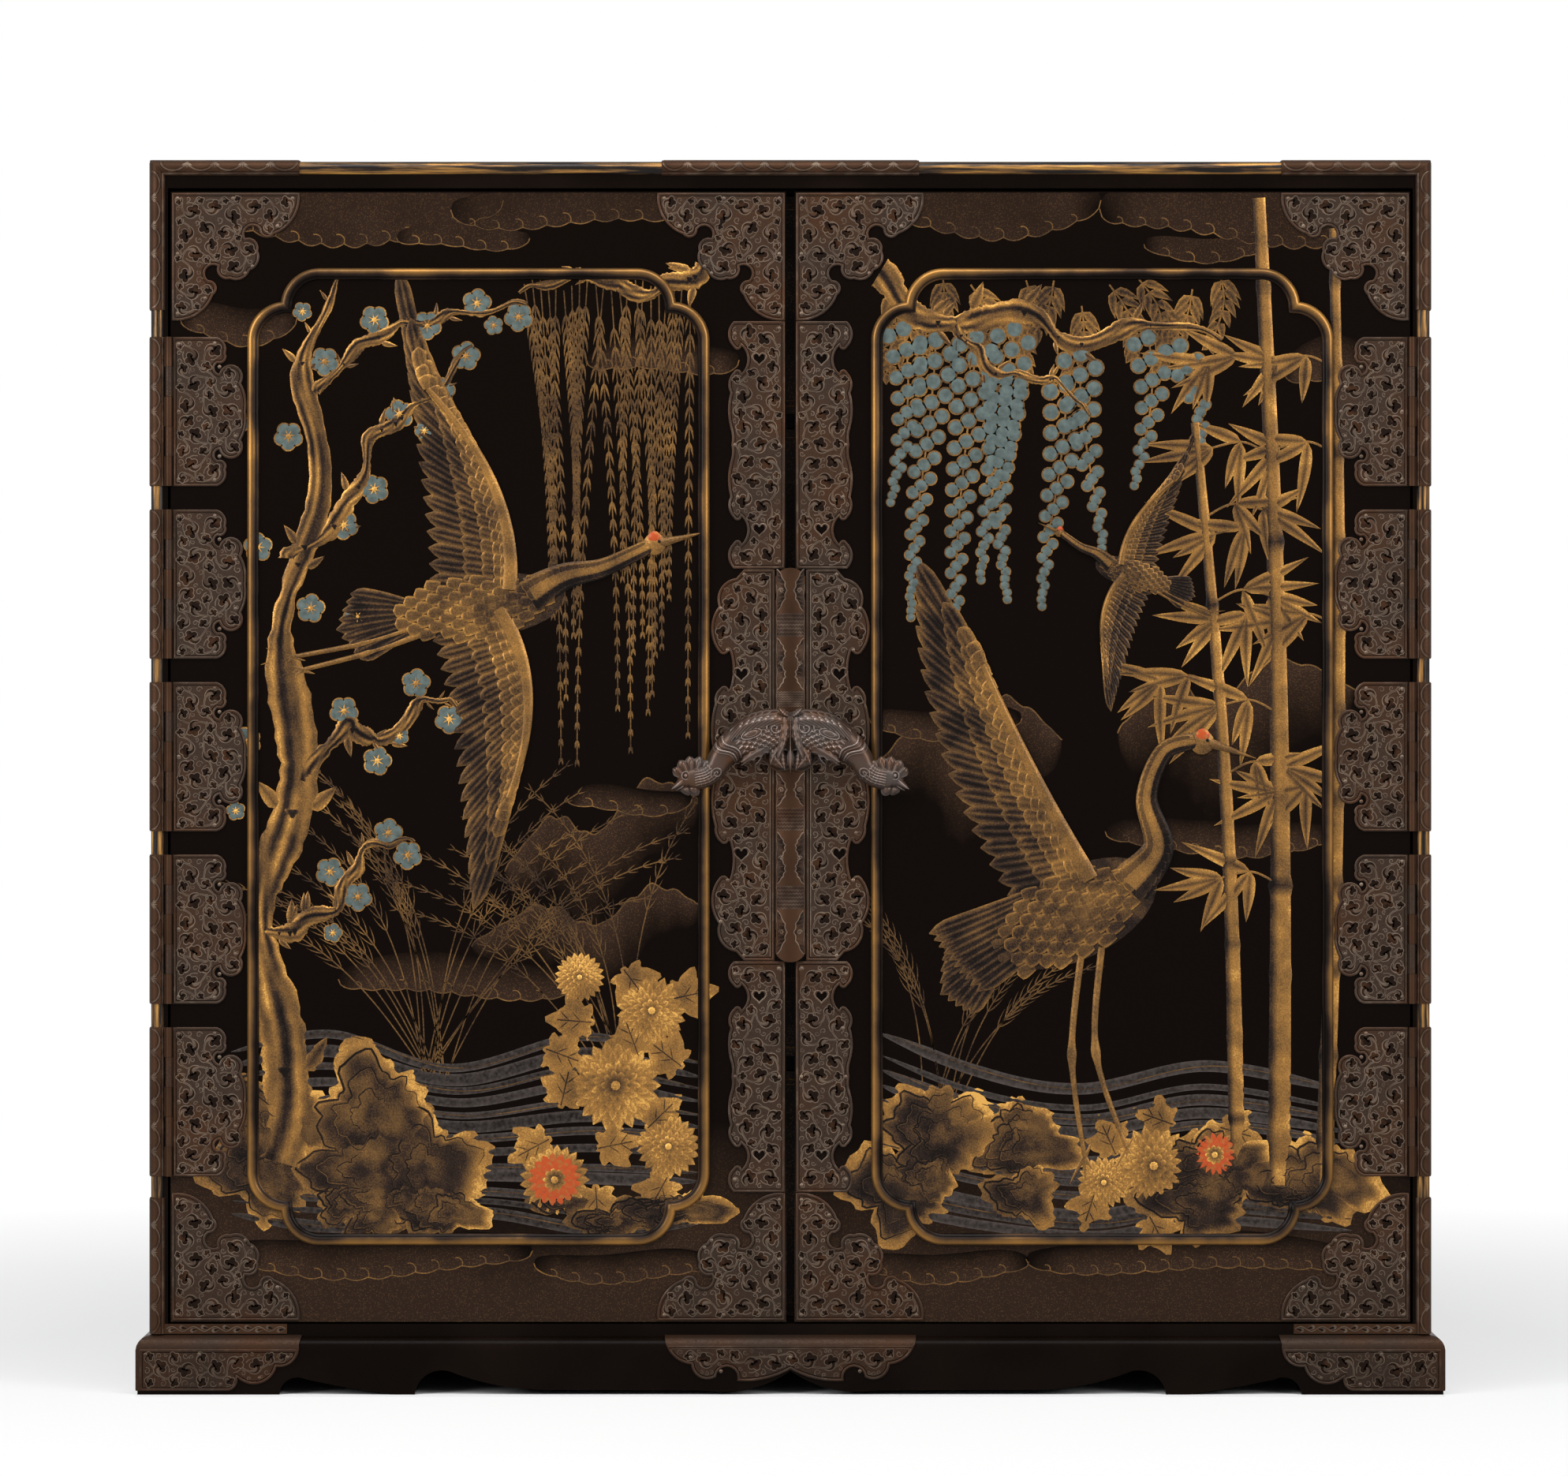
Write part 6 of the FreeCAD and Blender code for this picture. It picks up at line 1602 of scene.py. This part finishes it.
def rocks(picture, spot, wide, tall, seed):
    """Weathered rock: star-shaped mounds with ragged gold rims, dull within, a painted lit side and a painted
    shaded side, and dark clefts along them.
    """
    chance = np.random.default_rng(seed)
    angle = np.linspace(0, TURN, 73)
    share = np.linspace(1, 0, 8)[:, None]
    for number in range(7):
        across = spot[0] + wide * chance.uniform(-0.5, 0.5)
        up = spot[1] + tall * chance.uniform(-0.3, 0.5) * (1 - abs(across - spot[0]) / wide)
        phase = chance.uniform(0, TURN, 4)
        rim = 1 + 0.22 * np.sin(3 * angle + phase[0]) + 0.14 * np.sin(5 * angle + phase[1])
        rim = rim + 0.09 * np.abs(np.sin(7 * angle + phase[2])) + 0.05 * np.sin(17 * angle + phase[3])
        rim[-1] = rim[0]
        size = chance.uniform(0.2, 0.36)
        rim = rim / np.hypot(np.cos(angle) / (wide * size), np.sin(angle) / (tall * size))
        # Painted light: each mound lighter on one side and darker on the other, most at its rim.
        light = 0.12 * np.sin(2 * angle + phase[0]) + 0.14 * np.sin(angle + 0.6)
        tone = 0.34 + 0.44 * swell(0.62, 0.97, share) + light * share + 0.09 * np.sin(11 * share + phase[1])
        picture.add(mounds([(across, up)], rim, 0.75, 7, 3.0, 0.05 + 0.04 * number), tone)
        cut = slice(8 * (number % 3), 60)
        turn = angle[cut]
        reach = rim[cut] * (1 + 0.07 * np.sin(9 * turn))
        fade = np.sin(np.linspace(0.1, 3.0, len(turn)))
        for part, width in ((0.8, 2.2), (0.56, 1.8), (0.3, 1.4)):
            cleft = (across, up) + part * reach[:, None] * unit(turn)
            lift = 0.84 - part ** 3 * 0.75 + 0.04 * number
            picture.add(ribbons(cleft, width * fade, 0.1, lift, 3), np.array([0.16, 0.1, 0.56]))


def stream(picture, banks, count, width):
    """Running water between two banks: broad washes of tarnished silver with pale edges, and gold lines."""
    first, second = (smooth(bank, 80) for bank in banks)
    share = ((np.arange(count) + picture.chance.uniform(0.2, 0.8, count)) / count)[:, None, None]
    ripple = 1.6 * np.sin(np.linspace(0, 11, 80) + 9 * share[..., 0])
    lines = first + (second - first) * share + ripple[..., None] * np.array([1.0, 0.25])
    tone = picture.chance.uniform(0.8, 1.1, count)[:, None, None] * np.array([0.5, 0.3, 0.24, 0.27, 0.4])
    along = np.linspace(0, 1, 80)
    taper = np.clip(7 * np.minimum(along, 1 - along), 0.02, 1) ** 0.7
    broad = width * picture.chance.uniform(0.5, 1.2, (count, 1)) * taper
    picture.add(ribbons(lines, broad, 0.3, 0.05, 5), tone, strewn_silver)
    picture.add(ribbons(lines[::2] + (0.6 * width, 0.0), 0.7 * taper, 0.1, 0.36, 2), 0.44)


def wisteria(picture, roots):
    """Hanging wisteria from roots of (across, top, length): round flowers in blue-grey inlay with gold rims,
    three abreast, that taper to a point along a swaying stalk."""
    for across, top, tall in roots:
        row = np.arange(int(tall / 5))
        share = (row + 0.5) / len(row)
        stalk = np.stack([across + 9 * np.sin(3 * share + across), top - tall * share], -1)
        side = np.array([0, -1, 1])[row % 3]
        spots = stalk + np.stack([side * 12 * (1 - share), 0 * share], -1)
        size = (5.2 * (1 - 0.55 * share) + 0.4)[:, None] * np.ones(15)
        picture.add(ribbons(stalk, 1.2, 0.3, 0.2), 0.6)
        picture.add(mounds(spots, 1.25 * size, 0.0, 1, lift=0.4), 0.6)
        picture.add(mounds(spots, size, 0.4, 3, 2.0, 0.45), 0.5, shell_inlay)


class CABINET_OT_left_picture(bpy.types.Operator):
    """Left door: a flying crane, a plum tree, a willow, hills, flowers and grasses by a stream, mist"""
    bl_idname = "cabinet.left_picture"
    bl_label = "Picture of the left door"

    def execute(self, context):
        view = Picture("left_picture", "left_door", FRONT, (-425, -30), seed=10)
        for middle, wide, tall in (
                ((-398, 772), 84, 28), ((-92, 748), 110, 26), ((-236, 300), 180, 30), ((-116, 428), 90, 20),
                ((-296, 100), 220, 30), ((-120, 92), 130, 22)):
            mist(view, middle, wide, tall)
        for lift, middle, wide, tall in (
                (0.1, (-322, 854), 230, 44), (0.16, (-150, 857), 190, 34), (0.22, (-236, 834), 96, 18)):
            mist(view, middle, wide, tall, lift, 0.6, 0.5)
        rocks(view, (-326, 168), 130, 120, 3)
        rocks(view, (-290, 138), 90, 60, 8)
        bough(view, [
            (-372, 165, 34), (-364, 260, 30), (-384, 350, 26), (-352, 440, 25), (-370, 540, 22),
            (-340, 640, 18), (-352, 730, 12), (-334, 784, 7), (-326, 804, 2)], 0.4)
        bough(view, [(-356, 440, 16), (-320, 480, 13), (-296, 470, 10), (-262, 500, 6), (-240, 496, 3)], 1.9)
        bough(view, [(-362, 600, 14), (-318, 640, 11), (-300, 690, 9), (-262, 716, 7), (-230, 756, 3)], 3.1)
        bough(view, [(-376, 330, 13), (-330, 350, 10), (-306, 392, 7), (-272, 398, 3)], 4.4)
        bough(view, [(-345, 720, 9), (-300, 762, 8), (-250, 776, 6), (-190, 786, 3)], 2.2)
        spots = [
            (-322, 492), (-298, 456), (-270, 512), (-246, 486), (-300, 652), (-322, 626), (-282, 706),
            (-252, 722), (-234, 748), (-312, 358), (-290, 404), (-276, 388), (-332, 376), (-262, 770),
            (-226, 786), (-196, 776), (-300, 774), (-362, 690), (-336, 744), (-392, 470), (-346, 566),
            (-384, 610), (-312, 560), (-400, 700)]
        blossom(view, spots, 10.5)
        blossom(view, [(-282, 474), (-264, 694), (-214, 770), (-330, 332), (-352, 780), (-400, 420)], 7.0)
        hills(view, [(-206, 376), (-172, 414), (-140, 402), (-104, 440), (-64, 426)], 70, 0.04)
        hills(view, [(-230, 322), (-180, 350), (-140, 336), (-100, 364), (-64, 350)], 50, 0.07)
        bough(view, [(-62, 812, 13), (-104, 794, 11), (-150, 806, 8), (-196, 794, 3)], 5.2)
        willow(view, np.stack([np.linspace(-192, -72, 22), 800 + 5 * np.sin(np.arange(22))], -1), 370)
        crane(view, "flying", 0.92, (-222, 566), 0.12, 0.92)
        banks = ([(-404, 252), (-330, 266), (-244, 240), (-150, 264), (-64, 244)],
                 [(-404, 122), (-320, 112), (-230, 124), (-140, 110), (-64, 116)])
        stream(view, banks, 13, 8.0)
        grasses(view, (-256, 226), 19, 250, 0.0)
        grasses(view, (-116, 210), 17, 270, 0.05)
        spots = [
            (-132, 178), (-98, 196), (-164, 214), (-112, 250), (-84, 240), (-150, 268), (-180, 180),
            (-92, 150), (-140, 142), (-116, 300), (-170, 246), (-78, 286)]
        leafage(view, spots, np.linspace(0.2, 6.5, 12), 24)
        for spot, size, recipe in (
                ((-126, 222), 31, strewn_gold), ((-170, 154), 24, red_lacquer), ((-88, 178), 22, strewn_gold),
                ((-100, 276), 24, strewn_gold), ((-152, 300), 17, strewn_gold)):
            chrysanthemum(view, spot, size, recipe)
        rocks(view, (-120, 128), 110, 34, 21)
        view.make()
        return {"FINISHED"}


class CABINET_OT_right_picture(bpy.types.Operator):
    """Right door: two cranes, bamboo, wisteria, hills, rocks, flowers and grasses by a stream, mist"""
    bl_idname = "cabinet.right_picture"
    bl_label = "Picture of the right door"

    def execute(self, context):
        view = Picture("right_picture", "right_door", FRONT, (30, 425), seed=12)
        for middle, wide, tall in (
                ((398, 742), 84, 34), ((112, 484), 110, 22), ((312, 402), 170, 26), ((290, 100), 240, 28),
                ((112, 92), 120, 22)):
            mist(view, middle, wide, tall)
        for lift, middle, wide, tall in (
                (0.1, (136, 856), 176, 40), (0.16, (330, 853), 214, 46), (0.22, (300, 826), 90, 18)):
            mist(view, middle, wide, tall, lift, 0.6, 0.5)
        rocks(view, (128, 160), 110, 90, 5)
        rocks(view, (336, 150), 120, 70, 14)
        bough(view, [
            (62, 806, 16), (110, 770, 18), (160, 780, 15), (210, 758, 12), (262, 772, 9), (312, 760, 4)], 0.9)
        bough(view, [(120, 772, 10), (146, 738, 8), (190, 730, 5), (216, 706, 3)], 2.6)
        wisteria(view, [
            (96, 762, 205), (128, 764, 250), (160, 770, 200), (190, 730, 165), (218, 752, 150),
            (252, 764, 112), (288, 758, 74), (146, 734, 150), (76, 770, 130)])
        for number in range(13):
            spot = np.array([70 + 20 * number, 796 - 12 * np.sin(2 * number)])
            tip = spot + (22 * np.sin(5 * number), -50)
            stalk = smooth([spot, (spot + tip) / 2 + (6, 3), tip], 8)
            view.add(ribbons(stalk, 1.3, 0.3, 0.3, 2), 0.6)
            barbed(view, stalk[None], 1, 19, 6.6, np.array([0.74, 0.36, 0.66]), 0.95)
        bamboo(view, (352, 150), (338, 862), 17, [3, 5, 6, 7, 8, 9])
        bamboo(view, (384, 150), (392, 840), 13, [4, 6, 8, 9])
        bamboo(view, (322, 168), (292, 700), 12, [4, 5, 6, 7])
        hills(view, [(64, 452), (96, 486), (124, 470), (156, 500), (196, 470)], 80, 0.04)
        hills(view, [(236, 476), (274, 512), (306, 496), (352, 528), (408, 506)], 90, 0.04)
        crane(view, "flying", 0.9, (246, 590), -0.3, 0.42, -1)
        crane(view, "standing", 0.92, (206, 346), 0.0, 1.02)
        banks = ([(64, 262), (130, 236), (210, 222), (300, 238), (404, 220)],
                 [(64, 130), (140, 116), (220, 108), (300, 120), (404, 112)])
        stream(view, banks, 12, 8.0)
        grasses(view, (104, 190), 13, 210, 0.0)
        spots = [
            (250, 150), (284, 168), (232, 178), (270, 196), (300, 140), (218, 140), (262, 122), (316, 190)]
        leafage(view, spots, np.linspace(0.4, 6.0, 8), 22)
        for spot, size, recipe in (
                ((262, 164), 28, strewn_gold), ((306, 172), 20, red_lacquer), ((226, 152), 18, strewn_gold)):
            chrysanthemum(view, spot, size, recipe)
        view.make()
        return {"FINISHED"}


class CABINET_OT_inside(bpy.types.Operator):
    """Gold borders and sprays of flowers on the drawer fronts and on the inner faces of the doors"""
    bl_idname = "cabinet.inside"
    bl_label = "Decoration inside"

    def execute(self, context):
        for number, name in enumerate(DRAWERS):
            low, high = span(name)
            view = Picture(name + "_picture", name, low[1], (low[0] + 20, high[0] - 20), seed=number)
            low, high = low[[0, 2]], high[[0, 2]]
            wide, tall = high - low
            view.border(low, high, 6.0)
            # On a small drawer the knob takes the middle.
            start = 0.27 if 0.5 * wide < tall < wide else 0.5
            # A wide drawer has a pair of them, clear of its knobs and of the gap between the doors.
            self.sprays(view, low, high, max(2 * round(wide / 700), 1), min(0.11 * tall, 20), start)
            view.make()
        for number, (door, side) in enumerate(SIDES.items()):
            low, high = sorted((side * DOOR_LOW[0], side * DOOR_HIGH[0]))
            view = Picture(door + "_inside", door, DOOR_HIGH[1], (low + 35, high - 35), 1, 20 + number)
            low, high = np.array([low, DOOR_LOW[2]]), np.array([high, DOOR_HIGH[2]])
            view.border(low, high, 14.0)
            self.sprays(view, low, high - (0, 420), 2, 26, 0.5)
            view.make()
        return {"FINISHED"}

    def sprays(self, view, low, high, count, size, start):
        """Flowers among leaves, with grasses behind them, in so many places along a face."""
        wide, tall = high - low
        turn = np.linspace(0, TURN, 7)[:-1]
        for place in range(count):
            foot = low + (wide * (place + start) / count, 0.3 * tall)
            grasses(view, foot, 9, 0.34 * tall, -0.1)
            leafage(view, foot + 1.5 * size * unit(turn) * (1, 0.7), turn, 0.8 * size)
            chrysanthemum(view, foot, size)
            chrysanthemum(view, foot + (1.7 * size, -0.5 * size), 0.7 * size)


def backdrop_rays(add):
    """1 for the rays that see the white backdrop: from the camera, off metal and through glass."""
    path = add("LightPath").node.outputs
    seen = add("Math", {0: path["Is Camera Ray"], 1: path["Is Glossy Ray"]}, operation="MAXIMUM")
    return add("Math", {0: seen, 1: path["Is Transmission Ray"]}, operation="MAXIMUM")


class CABINET_OT_stage(bpy.types.Operator):
    """Pale floor, soft lights and the camera at the photograph's angle"""
    bl_idname = "cabinet.stage"
    bl_label = "Studio"

    def execute(self, context):
        scene = context.scene
        scene.view_settings.view_transform = "Standard"
        floor = bpy.data.meshes.new("floor")
        floor.from_pydata([(-30, -8, 0), (30, -8, 0), (30, 60, 0), (-30, 60, 0)], [], [(0, 1, 2, 3)])
        paper = material(studio_paper)
        add = functools.partial(put, paper.node_tree)
        out = next(item for item in paper.node_tree.nodes if item.type == "OUTPUT_MATERIAL").inputs[0]
        place = add("TexCoord", out="Object")
        away = add("VectorMath", {0: place}, out="Value", operation="LENGTH")
        bright = add("MapRange", {0: away, 1: 0.6, 2: 1.5, 3: 0.6, 4: 1.0})
        # The backdrop's white ends at the plinth: the floor under the cabinet lies in its own shadow.
        part = add("SeparateXYZ", {0: add("VectorMath", {0: place}, operation="ABSOLUTE")}).node.outputs
        wide, deep = span("plinth_right_rail")[1][0] / 1000, span("plinth_back_rail")[1][1] / 1000
        beside = add("Math", {0: part[0], 1: wide}, operation="GREATER_THAN")
        beyond = add("Math", {0: part[1], 1: deep}, operation="GREATER_THAN")
        past = add("Math", {0: beside, 1: beyond}, operation="MAXIMUM")
        lit = add("Math", {0: backdrop_rays(add), 1: past}, operation="MULTIPLY")
        share = add("Math", {0: lit, 1: bright}, operation="MULTIPLY")
        glow = add("Emission", {"Color": (1, 1, 1), "Strength": 1.0})
        paper.node_tree.links.new(add("MixShader", {0: share, 1: out.links[0].from_socket, 2: glow}), out)
        floor.materials.append(paper)
        ground = bpy.data.objects.new("floor", floor)
        scene.collection.objects.link(ground)

        world = bpy.data.worlds.new("studio")
        world.use_nodes = True
        world.node_tree.nodes.clear()
        add = functools.partial(put, world.node_tree)
        dim = add("Background", {"Color": (0.9, 0.94, 1.0), "Strength": 0.14})
        white = add("Background", {"Color": (1, 1, 1), "Strength": 1.0})
        add("OutputWorld", {"Surface": add("MixShader", {0: backdrop_rays(add), 1: dim, 2: white})})
        scene.world = world

        for name, place, target, wide, tall, power in (
                ("left_softbox", (-2.3, -2.0, 1.5), (0, -0.2, 0.45), 1.3, 1.8, 62),
                ("right_softbox", (2.3, -2.0, 1.5), (0, -0.2, 0.45), 1.3, 1.8, 50),
                ("top_softbox", (0, -1.3, 2.6), (0, -0.2, 0.45), 2.4, 1.2, 52)):
            lamp = bpy.data.lights.new(name, "AREA")
            lamp.shape, lamp.size, lamp.size_y, lamp.energy = "RECTANGLE", wide, tall, power
            item = bpy.data.objects.new(name, lamp)
            item.location = place
            way = Vector(target) - Vector(place)
            item.rotation_euler = way.to_track_quat("-Z", "Y").to_euler()
            scene.collection.objects.link(item)

        # The photograph is straight on; 1988 pixels are 1131 mm wide at the doors, seen from 4 m.
        sensor, distance, seen = 36, 4000, 1131
        camera = bpy.data.cameras.new("camera")
        camera.sensor_fit, camera.sensor_width = "HORIZONTAL", sensor
        camera.lens = sensor * distance / seen
        camera.clip_end = 100
        view = bpy.data.objects.new("camera", camera)
        view.location = (-0.0046, (FRONT - distance) / 1000, 0.4725)
        view.rotation_euler = (np.pi / 2, 0, 0)
        scene.collection.objects.link(view)
        scene.camera = view
        return {"FINISHED"}


class CABINET_PT_panel(bpy.types.Panel):
    """Steps that dress the cabinet, and their settings"""
    bl_idname = "CABINET_PT_panel"
    bl_label = "Lacquer cabinet"
    bl_space_type = "VIEW_3D"
    bl_region_type = "UI"
    bl_category = "Cabinet"

    def draw(self, context):
        for step in STEPS:
            self.layout.operator(step.bl_idname)
        for group in (context.scene.cabinet_colours, context.scene.cabinet_sizes):
            box = self.layout.box()
            for name in group.__annotations__:
                box.prop(group, name)


STEPS = (
    CABINET_OT_boards, CABINET_OT_metal, CABINET_OT_mouldings, CABINET_OT_engraving, CABINET_OT_bar,
    CABINET_OT_latch, CABINET_OT_edges, CABINET_OT_flanks, CABINET_OT_left_picture, CABINET_OT_right_picture,
    CABINET_OT_inside, CABINET_OT_stage)
GROUPS = (CabinetColours, CabinetSizes)


def register():
    """Makes the settings, the steps and the panel known to Blender."""
    for item in (*GROUPS, *STEPS, CABINET_PT_panel):
        bpy.utils.register_class(item)
    bpy.types.Scene.cabinet_colours = bpy.props.PointerProperty(type=CabinetColours)
    bpy.types.Scene.cabinet_sizes = bpy.props.PointerProperty(type=CabinetSizes)


def unregister():
    """Takes them out again."""
    del bpy.types.Scene.cabinet_sizes
    del bpy.types.Scene.cabinet_colours
    for item in (CABINET_PT_panel, *reversed(STEPS), *reversed(GROUPS)):
        bpy.utils.unregister_class(item)


def main():
    """Runs every step in order."""
    register()
    for step in STEPS:
        group, name = step.bl_idname.split(".")
        getattr(getattr(bpy.ops, group), name)()


if __name__ == "__main__":
    main()
